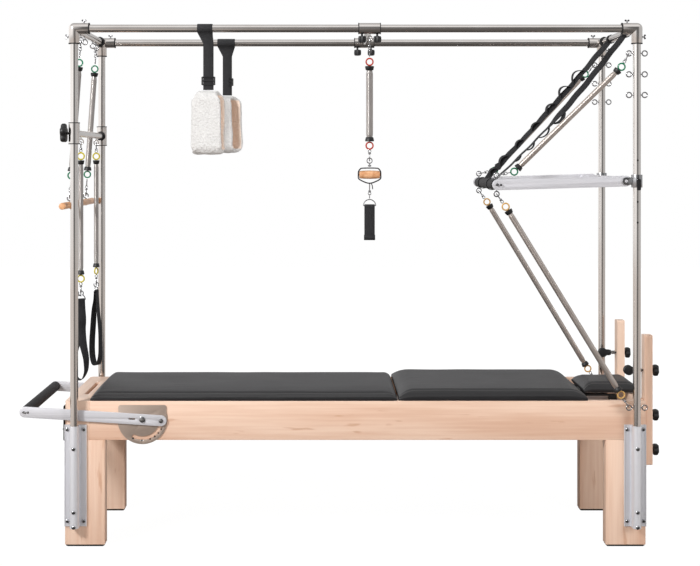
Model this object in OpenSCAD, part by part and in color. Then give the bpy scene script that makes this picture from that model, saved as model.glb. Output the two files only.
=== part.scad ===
// Trapeze table with a reformer bed: wooden bed frame, steel canopy, sprung bars, loops and handles.
// Units are millimetres, +Z is up, the floor is z = 0, +X runs from the foot end to the head end.

/* [Wooden frame] */
// Length of the wooden frame
frame_len = 2375; // [2200:5:2500]
// Width over the two side rails
frame_w = 630; // [600:2:640]
// Height of the rails' top above the floor
frame_top = 596; // [520:2:650]
// Height of a side rail
rail_h = 160; // [140:2:190]
// Thickness of a side rail
rail_t = 32; // [26:1:38]
// Length of the hollow foot end block
end_len = 99; // [85:1:120]
// Width of a leg along the frame
leg_w = 163; // [130:1:190]
// Thickness of a leg
leg_t = 60; // [48:1:75]
// Height of a rubber foot
foot_h = 8; // [5:1:14]
// Width of the hand slot in the foot end
hand_slot_w = 18; // [14:1:26]
// Length of the hand slot
hand_slot_len = 300; // [200:5:380]

/* [Steel canopy] */
// Outer diameter of the canopy tubes
tube_d = 32; // [28:0.5:36]
// Wall of the canopy tubes
tube_wall = 2; // [1.5:0.1:3]
// Distance of a post's centre from the end of the frame
post_inset = 44; // [40:0.5:60]
// Distance of a post's centre from the side rail's face
post_stand = 35; // [33:0.5:45]
// Height of the top rails' centre
top_z = 2116; // [2080:2:2200]
// Outer diameter of the corner fittings and sleeves
sleeve_d = 45; // [42:0.5:50]
// Pitch of the pin holes in the head end posts
pin_pitch = 84; // [60:1:100]

/* [Mats] */
// Thickness of a mat
mat_t = 35; // [28:1:45]
// Length of the right mat on the carriage
carriage_len = 775; // [700:5:850]
// Height of the carriage mat's underside above the rails
carriage_lift = 9; // [6:0.5:14]
// Length of the headrest
headrest_len = 235; // [200:5:260]
// Width of the headrest
headrest_w = 300; // [240:5:340]

/* [Foot bar] */
// Distance from the pivot to the padded bar
footbar_reach = 480; // [440:2:520]
// Depth of the pivot below the rails' top
footbar_drop = 74; // [66:1:90]
// Tilt of the arms at rest
footbar_tilt = 3.6; // [2:0.1:8]
// Radius at which the locking pin runs
pin_r = 77; // [70:1:84]
// Height of a flat arm, also on the push bar
arm_h = 44; // [36:1:50]
// Thickness of a flat arm
arm_t = 6; // [4:0.5:8]

/* [Push bar] */
// Distance from the pivot to the roller
push_reach = 521; // [460:2:560]
// Height of the push bar's pivot
push_z = 1496; // [1460:2:1520]
// Tilt of the push bar at rest
push_tilt = 1.7; // [0:0.1:4]
// Diameter of the padded roller bars
roller_d = 44; // [36:1:50]

/* [Springs] */
// Outer diameter of the slim springs
spring_d = 20; // [16:0.5:22]
// Outer diameter of the thick handle spring
thick_spring_d = 27; // [24:0.5:32]
// Wire diameter of the springs
wire_d = 3.6; // [2.6:0.2:4]
// Number of curls on each spring
curls = 8; // [5:1:11]

/* [Hanging parts] */
// Height of the sliding bar on the foot end posts
mid_z = 1690; // [1600:5:1700]
// Height of the wooden roll-down bar
roll_z = 1394; // [1360:2:1430]
// Length of the wooden roll-down bar
roll_len = 740; // [720:2:744]
// Diameter of the wooden roll-down bar
roll_d = 28; // [24:1:32]
// Place of the sliding cross tube along the canopy
slider_x = 116; // [-50:1:200]
// Place of the near fleece strap along the canopy
fleece_near_x = -539; // [-600:1:-500]
// Place of the far fleece strap along the canopy
fleece_far_x = -510; // [-560:1:-480]

/* [Hidden] */
$fn = 48;

// Clearances: running fit on a radius, seat of a loose piece, gap between moving faces
run_gap = 0.05;
seat_gap = 0.3;
face_gap = 2;

// The frame's middle lies to the right of the origin, because the foot bar reaches further out
mid_x = 59;
frame_l = mid_x - frame_len / 2;
frame_r = mid_x + frame_len / 2;
half_w = frame_w / 2;
inner_y = half_w - rail_t;
rail_z = frame_top - rail_h;
post_l = frame_l + post_inset;
post_r = frame_r - post_inset;
post_y = half_w + post_stand;
tube_r = tube_d / 2;
sleeve_r = sleeve_d / 2;
bore_r = tube_r + run_gap;
sides = [-1, 1];

// Lengths of the corner fittings' arms and of the sliding sleeves
fitting_reach = 62;
slider_sleeve = 90;
slider_knob_x = 31;
mid_sleeve = 87;

// Sockets that hold the posts on the legs
socket_top = frame_top - 96;
socket_low = 85;
flange_w = 90;
flange_t = 6;
channel_w = 37;
socket_r = channel_w / 2;

// Eyes, hooks, coloured rings and ferrules at the ends of the springs
eye_r = 10.5;
eye_wire = 5.2;
hook_wire = 4;
hook_r = 6;
dee_wire = 4;
ring_r = 15;
ring_wire = 5;
ferrule_h = 17;
short_reach = 61;
long_reach = 95;
hook_in = eye_r - eye_wire / 2 - hook_wire / 2 - seat_gap;
ring_in = ring_r - ring_wire / 2 - hook_wire / 2 - seat_gap;
ring_to_spring = ring_r + ring_wire / 2 + 0.2 + ferrule_h;

// Hanging hooks on the foot end and the height of their eyes
hook_y = 196;
top_eye_z = top_z - tube_r - 18;
mid_d = 27;
mid_eye_z = mid_z - mid_d / 2 - 18;
roll_lean = mid_d / 2 + spring_d / 2 + 3;
roll_x = post_l - roll_lean * (top_eye_z - roll_z) / (top_eye_z - mid_z);
roll_eye_z = roll_z + roll_d / 2 + eye_r + eye_wire / 2 + 1;

// Hand loops under the foot end springs
hand_web_top = 1003;
hand_web_low = 665;
hand_web_w = 34;
hand_web_t = 3;
loop_dee_w = hand_web_w + 8;
loop_dee_z = hand_web_top - hand_web_t - dee_wire / 2 - seat_gap;
loop_eye_z = loop_dee_z + loop_dee_w / 2 + dee_wire / 2 + 0.3 + eye_r - eye_wire / 2 - dee_wire;

// Mats and carriage
mat_l = frame_l + end_len + face_gap;
headrest_over = 14.5;
headrest_gap = 14;
headrest_l = frame_r + headrest_over - headrest_len;
carriage_r = headrest_l - headrest_gap;
carriage_l = carriage_r - carriage_len;
mat_r = carriage_l - 6;
mat_z = frame_top + seat_gap;
carriage_z = frame_top + carriage_lift;
board_t = 19;
board_y = inner_y - 3;
track_z = frame_top - 76;
track_ledge = 36;
wheel_r = 28;
wheel_w = 22;
wheel_y = inner_y - 51;
wheel_z = track_z + wheel_r + seat_gap;
headrest_z = frame_top + 12;
headrest_t = 33;
headrest_board_t = 9;
tongue_t = 6;
tongue_z = frame_top - 10;
hinge_x = headrest_l + 8;
hinge_z = (tongue_z + tongue_t + headrest_z - headrest_board_t) / 2;
hinge_d = headrest_z - headrest_board_t - tongue_z - tongue_t - 1;

// Foot bar
footbar_x = frame_l + 317.1;
footbar_y = half_w + 6;
footbar_z = frame_top - footbar_drop;
plate_t = 4;
plate_r = 102;
notch_angles = [3.6, 27.8, 41, 54.3, 68.6, 91.2, 116.3];
pin_d = 12;

// Push bar
push_x = post_r - 45;
push_arm_y = post_y;
roller_x = push_x - push_reach * cos(push_tilt);
roller_z = push_z - push_reach * sin(push_tilt);
push_eye = roller_d / 2 + 16;
push_eye_y = post_y - 34;
post_eye_x = 32;
upper_eye_z = [for (d = [101, 186, 270]) top_z - d];
lower_eye_z = socket_top + 75;
strap_y = 150;
strap_w = 25;
strap_t = 2.5;

// Folded strap at the foot end
foot_strap_y = 89 - half_w;
foot_strap_z = frame_top - 104;
foot_strap_h = 150;
foot_strap_w = 42;
slide_t = 22;

// Fleece straps: how low each hangs, where its buckle sits, and its width where it wraps the rail
fleece_low_near = 250;
fleece_low_far = 240;
buckle_near = 213;
buckle_far = 180;
wrap_near = 62;
wrap_far = 80;
turn_near = -10;
turn_far = -40;
fleece_web_w = 42;
fleece_fold = 62;
cuff_w = 140;
cuff_h = 264;
cuff_d = 86;
cuff_wall = 21;

// Handle
handle_y = -post_y;
slider_eye_z = top_z - sleeve_r - 18;
grip_z = 1522;
handle_low_z = 1579;
loop_top_z = 1402;
loop_low_z = 1257;
loop_web_w = 42;
web_t = 3.5;
dee_w = loop_web_w + 8;
dee_z = loop_top_z - web_t - dee_wire / 2 - seat_gap;
dee_top = dee_z + dee_w / 2 - dee_wire / 2 - seat_gap;
grip_strap_w = 94;
grip_strap_t = 3;
grip_strap_top = grip_z + 28;
grip_strap_low = grip_z - 36;
link_top = grip_strap_low - hook_wire / 2 - 0.1;

// Risers and pulleys at the head end
riser_y = inner_y - 23;
riser_t = 33;
riser_w = 58;
riser_l = frame_r + 2;
riser_low = frame_top - 269;
riser_high = frame_top + 265;
knob_z = [frame_top + 118, frame_top - 66, frame_top - 209];
pulley_z = knob_z[0];
pulley_reach = 60;

// The length from p to q
function span(p, q) = norm(q - p);

// Puts children that are drawn along +Z on the line from p towards q
module along(p, q) {
    d = q - p;
    translate(p) rotate([0, acos(d.z / norm(d)), atan2(d.y, d.x)]) children();
}

// A tube from p to q
module tube(p, q, d, wall) {
    along(p, q) difference() {
        cylinder(d = d, h = span(p, q));
        translate([0, 0, -1]) cylinder(d = d - 2 * wall, h = span(p, q) + 2);
    }
}

// A wire ring round the local Y axis
module ring(r, wire) {
    rotate([90, 0, 0]) rotate_extrude() translate([r, 0]) circle(d = wire, $fn = 16);
}

// A closed link that runs from z = 0 to z = length on its wire's centre line, in the XZ plane
module link(length, r, wire) {
    for (z = [r, length - r])
        translate([0, 0, z]) rotate([90, z > r ? 0 : 180, 0])
            rotate_extrude(angle = 180) translate([r, 0]) circle(d = wire, $fn = 16);
    for (s = sides) translate([s * r, 0, r]) cylinder(d = wire, h = length - 2 * r, $fn = 16);
}

// A flat bar with round ends, from the origin along -X, its thickness centred on y = 0
module flat_bar(length, h, t) {
    rotate([90, 0, 0]) linear_extrude(height = t, center = true) {
        circle(d = h);
        translate([-length, 0]) circle(d = h);
        translate([-length, -h / 2]) square([length, h]);
    }
}

// A rectangle with round corners, centred
module round_rect(size, r) {
    square([size.x - 2 * r, size.y], center = true);
    square([size.x, size.y - 2 * r], center = true);
    for (x = sides, y = sides)
        translate([x * (size.x / 2 - r), y * (size.y / 2 - r)]) circle(r = r);
}

// A star knob with five lobes on a stem, drawn from z = 0 along +Z
module star_knob(d, h, stem_d, stem_h) {
    cylinder(d = stem_d, h = stem_h + 1);
    translate([0, 0, stem_h]) difference() {
        linear_extrude(height = h) {
            circle(d = d * 0.72);
            for (i = [0:4]) rotate(i * 72) translate([d * 0.33, 0]) circle(d = d * 0.34);
        }
        translate([0, 0, h - 3]) cylinder(d = d * 0.24, h = 4);
    }
}

// Spring wire as one tube: a straight run, the curls, a straight run
function curl_points(length, r, n, wire) = concat(
    [[r, 0, 0]],
    [for (i = [0:n * 8]) [r * cos(45 * i), r * sin(45 * i), wire + (length - 2 * wire) * i / (n * 8)]],
    [[r, 0, length]]
);
function curl_out(n) = concat(
    [[1, 0, 0]],
    [for (i = [0:n * 8]) [cos(45 * i), sin(45 * i), 0]],
    [[1, 0, 0]]
);
// Direction of the wire at point i of a path
function heading(path, i) = let (
    d = i == 0 || i == len(path) - 1
        ? [0, 0, 1]
        : path[i + 1] - path[i - 1]
) d / norm(d);

// A tube of six sides along a path, each ring square to the path
module wire_tube(path, out, r) {
    n = len(path);
    rings = [for (i = [0:n - 1]) let (
        t = heading(path, i),
        b = cross(t, out[i]) / norm(cross(t, out[i])),
        a = cross(b, t)
    ) for (k = [0:5]) path[i] + r * (cos(60 * k) * a + sin(60 * k) * b)];
    sides_of = [for (i = [0:n - 2], k = [0:5]) let (
        p = i * 6 + k,
        q = i * 6 + (k + 1) % 6
    ) each [[p, q + 6, q], [p, p + 6, q + 6]]];
    ends = [for (k = [1:4]) each [[0, k, k + 1], [(n - 1) * 6, (n - 1) * 6 + k + 1, (n - 1) * 6 + k]]];
    polyhedron(rings, concat(sides_of, ends), convexity = 10);
}

// A spring's wire from z = 0 to its length
module coil(length, d) {
    r = (d - wire_d) / 2;
    wire_tube(curl_points(length, r, curls, wire_d), curl_out(curls), wire_d / 2);
}

// The least gap of a spring's wire to itself, measured on the path's points
function self_gap(length, d) = let (
    p = curl_points(length, (d - wire_d) / 2, curls, wire_d)
) min([for (i = [0:len(p) - 7], j = [i + 6:len(p) - 1]) norm(p[i] - p[j])]) - wire_d;

// The hook, coloured ring and ferrule at one end of a spring, from an eye's centre at z = 0
module spring_end(reach, d, colour) {
    color("silver") translate([0, 0, hook_in]) rotate([0, 0, 90])
        link(reach - hook_in - ring_in, hook_r, hook_wire);
    color(colour) translate([0, 0, reach]) ring(ring_r, ring_wire);
    color([0.1, 0.1, 0.1]) translate([0, 0, reach + ring_r + ring_wire / 2 + 0.2])
        cylinder(d1 = d + 8, d2 = d + 2, h = ferrule_h);
}

// Both ends of the spring that hangs between the eyes p and q
module spring_ends(p, q, reach, d, colour) {
    along(p, q) spring_end(reach[0], d, colour);
    along(q, p) spring_end(reach[1], d, colour);
}

// The coil of the spring that hangs between the eyes p and q
module spring_coil(p, q, reach, d) {
    first = reach[0] + ring_to_spring;
    length = span(p, q) - first - reach[1] - ring_to_spring;
    color("lightgrey") along(p, q) translate([0, 0, first]) coil(length, d);
    echo(str("least gap of a spring's wire to itself ", self_gap(length, d)));
}

// A D-ring in the XZ plane: a straight bar of width w on the origin with an arch above it
module dee(w, wire) {
    rotate([90, 0, 0]) rotate_extrude(angle = 180) translate([w / 2, 0]) circle(d = wire, $fn = 16);
    translate([-w / 2, 0, 0]) rotate([0, 90, 0]) cylinder(d = wire, h = w);
    for (s = sides) translate([s * w / 2, 0, 0]) sphere(d = wire);
}

// An eye on a stem: the eye's centre is at the origin and the stem goes along +Z
module eye(stem) {
    ring(eye_r, eye_wire);
    translate([0, 0, eye_r]) cylinder(d = eye_wire, h = stem - eye_r);
}

// A band of webbing that runs along an outline of points in the XY plane, its middle on them
function band_normal(p, i) = let (
    a = p[max(i - 1, 0)],
    b = p[min(i + 1, len(p) - 1)],
    d = (b - a) / norm(b - a)
) [-d.y, d.x];
module band(points, t, w) {
    outer = [for (i = [0:len(points) - 1]) points[i] + t / 2 * band_normal(points, i)];
    inner = [for (i = [len(points) - 1:-1:0]) points[i] - t / 2 * band_normal(points, i)];
    linear_extrude(height = w, center = true) polygon(concat(outer, inner));
}

// Wooden bed

module side_rails() {
    color([0.9, 0.76, 0.62]) for (s = sides)
        translate([frame_l + end_len, s * (half_w - rail_t / 2) - rail_t / 2, rail_z])
            cube([frame_len - end_len, rail_t, rail_h]);
}

// The foot end is a hollow block with a hand slot, the head end a plain board
module end_boards() {
    wall = 20;
    color([0.88, 0.73, 0.58]) {
        difference() {
            translate([frame_l, -half_w, rail_z]) cube([end_len, frame_w, rail_h]);
            translate([frame_l + wall, -half_w + rail_t, rail_z - 1])
                cube([end_len - 2 * wall, frame_w - 2 * rail_t, rail_h - wall + 1]);
            translate([frame_l + end_len * 0.6, 0, frame_top - wall - 1])
                linear_extrude(height = wall + 2)
                    round_rect([hand_slot_w, hand_slot_len], hand_slot_w / 2 - 0.5);
            for (s = sides) translate([frame_l, s * half_w, rail_z - 1])
                rotate([0, 0, 45]) cube([14, 14, 2 * rail_h + 4], center = true);
        }
        translate([frame_r - rail_t, -inner_y, rail_z]) cube([rail_t, 2 * inner_y, rail_h]);
    }
}

// Each leg stands under the rail and laps up behind it
module legs() {
    lap = leg_t - rail_t;
    color([0.9, 0.75, 0.6]) for (s = sides) {
        for (x = [frame_l, frame_r - leg_w])
            translate([x, s * (half_w - leg_t / 2) - leg_t / 2, foot_h])
                cube([leg_w, leg_t, rail_z - foot_h]);
        translate([frame_l + end_len, s * (inner_y - lap / 2) - lap / 2, rail_z])
            cube([leg_w - end_len, lap, track_z - 44 - rail_z]);
        translate([frame_r - leg_w, s * (inner_y - lap / 2) - lap / 2, rail_z])
            cube([leg_w - rail_t, lap, track_z - 44 - rail_z]);
    }
}

module feet() {
    color([0.12, 0.12, 0.12]) for (s = sides, x = [frame_l, frame_r - leg_w])
        translate([x + leg_w / 2, s * (half_w - leg_t / 2), 0]) {
            linear_extrude(height = 3) round_rect([leg_w - 14, leg_t - 14], 4);
            translate([0, 0, 3]) linear_extrude(height = foot_h - 3) round_rect([leg_w - 6, leg_t - 6], 5);
        }
}

// Cross members that tie the side rails together below the carriage
module slats() {
    slat_w = 90;
    slat_t = 24;
    color([0.86, 0.7, 0.55]) for (x = [-0.27, 0, 0.27])
        translate([mid_x + x * frame_len - slat_w / 2, -inner_y, rail_z])
            cube([slat_w, 2 * inner_y, slat_t]);
}

// Aluminium angles inside the rails that the carriage wheels run on
module track_rails() {
    t = 4;
    length = frame_len - end_len - rail_t;
    color("silver") for (s = sides) translate([frame_l + end_len, s * inner_y, track_z])
        rotate([90, 0, 90]) linear_extrude(height = length) {
            translate([s > 0 ? -track_ledge : 0, -t]) square([track_ledge, t]);
            translate([s > 0 ? -t : 0, -40]) square([t, 40]);
        }
}

// Steel canopy

// An extruded socket: a ribbed flange with a round channel that the post drops into
module post_sockets() {
    color([0.82, 0.83, 0.86]) for (x = [post_l, post_r], s = sides)
        translate([x, s * half_w, socket_low]) rotate(s > 0 ? 180 : 0)
            linear_extrude(height = socket_top - socket_low) difference() {
                union() {
                    translate([-flange_w / 2, -flange_t]) square([flange_w, flange_t]);
                    translate([0, half_w - post_y]) circle(r = socket_r);
                    translate([-socket_r, half_w - post_y]) square([channel_w, post_y - half_w]);
                    for (e = sides) translate([e * (flange_w / 2 - 2) - 2, -flange_t - 2]) square([4, 3]);
                }
                translate([0, half_w - post_y]) circle(r = bore_r);
                for (e = sides) translate([e * 26 - 1, -flange_t - 1]) square([2, 2]);
            }
}

// Button screws on the sockets and winged screws on the corner fittings
module screws() {
    color([0.6, 0.6, 0.62]) {
        for (x = [post_l, post_r], s = sides) {
            for (e = sides, z = [socket_low + 22, socket_top - 19])
                translate([x + e * 33, s * (half_w + flange_t), z]) rotate([s * -90, 0, 0]) {
                    cylinder(d = 13, h = 3);
                    translate([0, 0, 2]) cylinder(d1 = 13, d2 = 7, h = 2.5);
                }
            for (z = [socket_low + 7, socket_low + 68, socket_top - 90])
                translate([x, s * (post_y + socket_r), z]) rotate([s * -90, 0, 0])
                    cylinder(d = 9, h = 3.5);
        }
        for (x = [post_l, post_r], s = sides) {
            out = x < 0 ? -1 : 1;
            translate([x - out * 40, s * post_y, top_z + sleeve_r]) winged_screw();
            translate([x + out * sleeve_r, s * post_y, top_z - 34]) rotate([0, out * 90, 0]) winged_screw();
        }
    }
}

module winged_screw() {
    cylinder(d = 6, h = 8);
    translate([0, 0, 8]) rotate([90, 0, 0]) linear_extrude(height = 3, center = true) {
        translate([-3, -2]) square([6, 4]);
        for (e = sides) translate([e * 6, 2]) circle(d = 8);
    }
}

// Posts stand in the sockets; the head end pair is cross-drilled for the push bar's pins
module posts() {
    color([0.7, 0.69, 0.68]) for (s = sides) {
        tube([post_l, s * post_y, socket_low + 3], [post_l, s * post_y, top_z - tube_r - 3],
            tube_d, tube_wall);
        difference() {
            tube([post_r, s * post_y, socket_low + 3], [post_r, s * post_y, top_z - tube_r - 3],
                tube_d, tube_wall);
            for (i = [-2:1]) translate([post_r, s * post_y, push_z + i * pin_pitch])
                rotate([s * -90, 0, 0]) cylinder(d = 8.1, h = tube_d);
        }
    }
}

// Two long top rails and the two cross tubes that join them
module top_tubes() {
    gap = tube_r + 3;
    color([0.7, 0.69, 0.68]) {
        for (s = sides)
            tube([post_l + gap, s * post_y, top_z], [post_r - gap, s * post_y, top_z], tube_d, tube_wall);
        for (x = [post_l, post_r])
            tube([x, gap - post_y, top_z], [x, post_y - gap, top_z], tube_d, tube_wall);
    }
}

// Three-way elbows: a sleeve on the post and one on each tube that meets it
module corner_fittings() {
    reach = fitting_reach;
    color([0.66, 0.65, 0.65]) for (x = [post_l, post_r], s = sides) {
        in = x < 0 ? 1 : -1;
        translate([x, s * post_y, top_z]) difference() {
            union() {
                translate([0, 0, -reach]) cylinder(d = sleeve_d, h = reach);
                rotate([0, in * 90, 0]) cylinder(d = sleeve_d, h = reach);
                rotate([s * 90, 0, 0]) cylinder(d = sleeve_d, h = reach);
                sphere(d = sleeve_d);
            }
            translate([0, 0, -reach - 1]) cylinder(r = bore_r, h = reach - tube_r - 1);
            rotate([0, in * 90, 0]) translate([0, 0, tube_r + 2]) cylinder(r = bore_r, h = reach);
            rotate([s * 90, 0, 0]) translate([0, 0, tube_r + 2]) cylinder(r = bore_r, h = reach);
        }
    }
}

// Screw eyes under the foot end cross tube and on both faces of the head end posts
module eyebolts() {
    color("silver") {
        for (y = [-hook_y, -hook_y / 2, hook_y / 2, hook_y])
            translate([post_l, y, top_eye_z]) eye(top_z - tube_r - top_eye_z);
        for (s = sides, e = sides, z = concat(upper_eye_z, [lower_eye_z]))
            translate([post_r + e * post_eye_x, s * post_y, z]) rotate([0, -e * 90, 0])
                eye(post_eye_x - tube_r);
    }
}

// Steel plates with an arc of notches that the foot bar's pins run in
module notch_plates() {
    lane = [pin_r - pin_d / 2 - 1, pin_r + pin_d / 2 + 1];
    top = 58;
    color([0.57, 0.5, 0.46]) for (s = sides)
        translate([footbar_x, s * (half_w + plate_t / 2), footbar_z]) rotate([90, 0, 0])
            linear_extrude(height = plate_t, center = true) difference() {
                union() {
                    intersection() {
                        circle(r = plate_r, $fn = 96);
                        translate([-plate_r, -plate_r]) square([2 * plate_r, plate_r + 20]);
                    }
                    translate([0, top / 2]) round_rect([2 * plate_r - 8, top], 9);
                }
                arc_lane(lane[0], lane[1], -notch_angles[0], -notch_angles[6]);
                for (a = notch_angles) rotate(-a) translate([pin_r + 5, 0]) circle(d = pin_d + 4);
                circle(d = 10.1);
            }
}

// A band of a ring from angle a down to angle b, with round ends
module arc_lane(r1, r2, a, b) {
    steps = 24;
    function at(r, i) = let (g = a + (b - a) * i / steps) r * [cos(g), sin(g)];
    polygon(concat([for (i = [0:steps]) at(r1, i)], [for (i = [steps:-1:0]) at(r2, i)]));
    for (g = [a, b]) rotate(g) translate([(r1 + r2) / 2, 0]) circle(d = r2 - r1);
}

// A folded webbing strap with two metal slides that hangs at the foot end
module foot_strap() {
    x = frame_l - slide_t / 2 - seat_gap;
    fold = slide_t - 5;
    color([0.08, 0.08, 0.08]) translate([x, foot_strap_y, foot_strap_z]) rotate([90, 0, 0])
        linear_extrude(height = foot_strap_w, center = true) difference() {
            round_rect([fold, foot_strap_h], fold / 2 - 0.5);
            round_rect([fold - 6, foot_strap_h - 6], fold / 2 - 3.5);
        }
    color("silver") for (z = [-0.16, 0.187]) translate([x, foot_strap_y, foot_strap_z + z * foot_strap_h])
        difference() {
            cube([slide_t, foot_strap_w + 10, 8], center = true);
            cube([fold + 0.4, foot_strap_w + 2, 9], center = true);
        }
}

// Wooden risers bolted to the head end, slotted for the pulley clamps
module risers() {
    color([0.92, 0.78, 0.64]) for (s = sides) translate([riser_l, s * riser_y, riser_low])
        difference() {
            translate([0, 0, (riser_high - riser_low) / 2]) rotate([90, 0, 90])
                linear_extrude(height = riser_t) round_rect([riser_w, riser_high - riser_low], 8);
            for (z = knob_z) translate([-1, 0, z - riser_low]) rotate([0, 90, 0])
                cylinder(d = 10.6, h = riser_t + 2);
        }
    color([0.15, 0.15, 0.15]) for (s = sides, z = [knob_z[1], knob_z[2]])
        translate([frame_r, s * riser_y, z]) rotate([0, 90, 0]) difference() {
            cylinder(d = 30, h = 2);
            translate([0, 0, -1]) cylinder(d = 10.6, h = 4);
        }
}

// Star knobs that clamp the risers and the pulleys
module riser_knobs() {
    color([0.08, 0.08, 0.08]) for (s = sides, z = knob_z)
        translate([riser_l + riser_t, s * riser_y, z]) rotate([0, 90, 0]) {
            star_knob(49, 22, 20, 8);
            translate([0, 0, -riser_t]) cylinder(d = 10, h = riser_t);
        }
}

// Brackets on the head end posts that carry the push bar's pivots
module push_brackets() {
    ear_t = 5;
    color([0.5, 0.5, 0.5]) for (s = sides) translate([post_r, s * post_y, push_z]) {
        difference() {
            union() {
                translate([0, 0, -26]) cylinder(d = sleeve_d, h = 52);
                for (e = sides) translate([push_x - post_r, e * (arm_t / 2 + 1.5 + ear_t / 2), 0])
                    rotate([90, 0, 0]) linear_extrude(height = ear_t, center = true) {
                        circle(d = 30);
                        translate([0, -15]) square([post_r - push_x - bore_r - 2, 30]);
                    }
            }
            translate([0, 0, -27]) cylinder(r = bore_r, h = 54);
            translate([push_x - post_r, 0, 0]) rotate([90, 0, 0]) cylinder(d = 12.1, h = 60, center = true);
            translate([-sleeve_r - 1, 0, 0])
                cube([2 * (sleeve_r - bore_r + 1), arm_t + 3, arm_h + 6], center = true);
            rotate([s * -90, 0, 0]) cylinder(d = 8.2, h = 60);
        }
    }
}

// Foot bar

// Draws children in the foot bar's tilted frame, with its pivot at the origin
module in_footbar() {
    translate([footbar_x, 0, footbar_z]) rotate([0, footbar_tilt, 0]) children();
}

module footbar_arms() {
    slot = 28;
    color([0.84, 0.85, 0.88]) in_footbar() for (s = sides)
        translate([0, s * (footbar_y + arm_t / 2), 0]) difference() {
            translate([pin_r, 0, 0]) flat_bar(footbar_reach + pin_r, arm_h, arm_t);
            rotate([90, 0, 0]) cylinder(d = 10.1, h = arm_t + 2, center = true);
            translate([pin_r, 0, 0]) rotate([90, 0, 0]) cylinder(d = 8, h = arm_t + 2, center = true);
            translate([-slot - 14, 0, 0]) rotate([90, 0, 0])
                linear_extrude(height = arm_t + 2, center = true) round_rect([slot, 7], 3.4);
        }
}

// Padded bar between the arms
module footbar_roller() {
    color([0.2, 0.2, 0.21]) in_footbar() translate([-footbar_reach, 0, 0]) rotate([90, 0, 0]) {
        cylinder(d = roller_d, h = 2 * footbar_y - 8, center = true);
        cylinder(d = 24, h = 2 * footbar_y - 0.1, center = true);
    }
}

// Pivot bolts, locking pins, return springs' hooks and the screws at the padded bar
module footbar_pins() {
    color([0.72, 0.72, 0.74]) in_footbar() for (s = sides) {
        y = footbar_y + arm_t;
        translate([0, s * y, 0]) rotate([s * -90, 0, 0]) cylinder(d = 22, h = 7);
        translate([0, s * (half_w + 0.3), 0]) rotate([s * -90, 0, 0]) cylinder(d = 10, h = y - half_w);
        translate([pin_r, s * y, 0]) rotate([s * -90, 0, 0]) cylinder(d = 18, h = 4);
        translate([pin_r, s * (half_w + 0.4), 0]) rotate([s * -90, 0, 0]) {
            cylinder(d = pin_d, h = footbar_y - half_w - 0.4);
            cylinder(d = 7.9, h = y - half_w);
        }
        for (x = [-6, 12]) translate([x - footbar_reach, s * y, 0]) rotate([s * -90, 0, 0])
            cylinder(d = 10, h = 2.5);
    }
}

// Mats

// Outline of a cushion at height share h: it draws in at the seams and bulges at its middle
function cushion_ring(size, r, inset, z) = let (
    x = size.x / 2 - inset,
    y = size.y / 2 - inset,
    c = max(r - inset, 1)
) [for (q = [0:3], i = [0:3]) let (a = 90 * q + 30 * i)
    [(q == 0 || q == 3 ? 1 : -1) * (x - c) + c * cos(a), (q < 2 ? 1 : -1) * (y - c) + c * sin(a), z]];

// A crowned cushion: flat below, full sides, a sewn edge, then a sloping rim up to the crown
module cushion(size, r) {
    t = size.z;
    levels = [[3, 0], [0, 4], [0, t * 0.34], [1.5, t * 0.4], [5, t * 0.66], [14, t * 0.86], [34, t * 0.95]];
    n = 16;
    rings = [for (l = levels) each cushion_ring(size, r, l[0], l[1])];
    crown = len(rings);
    last = (len(levels) - 1) * n;
    sides_of = [for (k = [0:len(levels) - 2], i = [0:n - 1]) let (
        p = k * n + i,
        q = k * n + (i + 1) % n
    ) each [[p, q + n, q], [p, p + n, q + n]]];
    base = [for (i = [1:n - 2]) [0, i, i + 1]];
    top = [for (i = [0:n - 1]) [last + i, crown, last + (i + 1) % n]];
    polyhedron(concat(rings, [[0, 0, t]]), concat(sides_of, base, top), convexity = 4);
}

module left_mat() {
    color([0.28, 0.28, 0.3]) translate([(mat_l + mat_r) / 2, 0, mat_z])
        cushion([mat_r - mat_l, frame_w, mat_t], 16);
}

// Plywood under the left mat that drops between the rails
module left_mat_board() {
    color([0.8, 0.66, 0.5]) translate([mat_l + 20, -board_y, mat_z - board_t])
        cube([mat_r - mat_l - 40, 2 * board_y, board_t]);
}

module carriage_mat() {
    color([0.28, 0.28, 0.3]) translate([(carriage_l + carriage_r) / 2, 0, carriage_z])
        cushion([carriage_len, frame_w, mat_t], 16);
}

// The carriage board, with the cheeks that hold the wheels
module carriage_board() {
    color([0.8, 0.66, 0.5]) translate([carriage_l + 10, -board_y, carriage_z - board_t])
        cube([carriage_len - 20, 2 * board_y, board_t]);
    color("silver") {
        translate([carriage_r - 40, 12 - headrest_w / 2, tongue_z])
            cube([headrest_l + 108 - carriage_r + 40, headrest_w - 24, tongue_t]);
        for (s = sides) translate([hinge_x, s * 60, hinge_z]) {
            rotate([90, 0, 0]) cylinder(d = hinge_d, h = 40, center = true);
            translate([-hinge_d / 2, -20, tongue_z + tongue_t - hinge_z])
                cube([hinge_d, 40, hinge_z - tongue_z - tongue_t]);
        }
        translate([hinge_x, 0, hinge_z]) rotate([90, 0, 0]) cylinder(d = 3, h = 100, center = true);
    }
    cheek_t = 8;
    color([0.3, 0.3, 0.3]) for (s = sides, x = [carriage_l + 90, carriage_r - 90]) difference() {
        translate([x - 24, s * (wheel_y + cheek_t / 2) - cheek_t / 2, wheel_z - 16])
            cube([48, cheek_t, carriage_z - board_t - wheel_z + 16]);
        translate([x, s * wheel_y, wheel_z]) rotate([90, 0, 0]) cylinder(d = 8.1, h = 40, center = true);
    }
}

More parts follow.
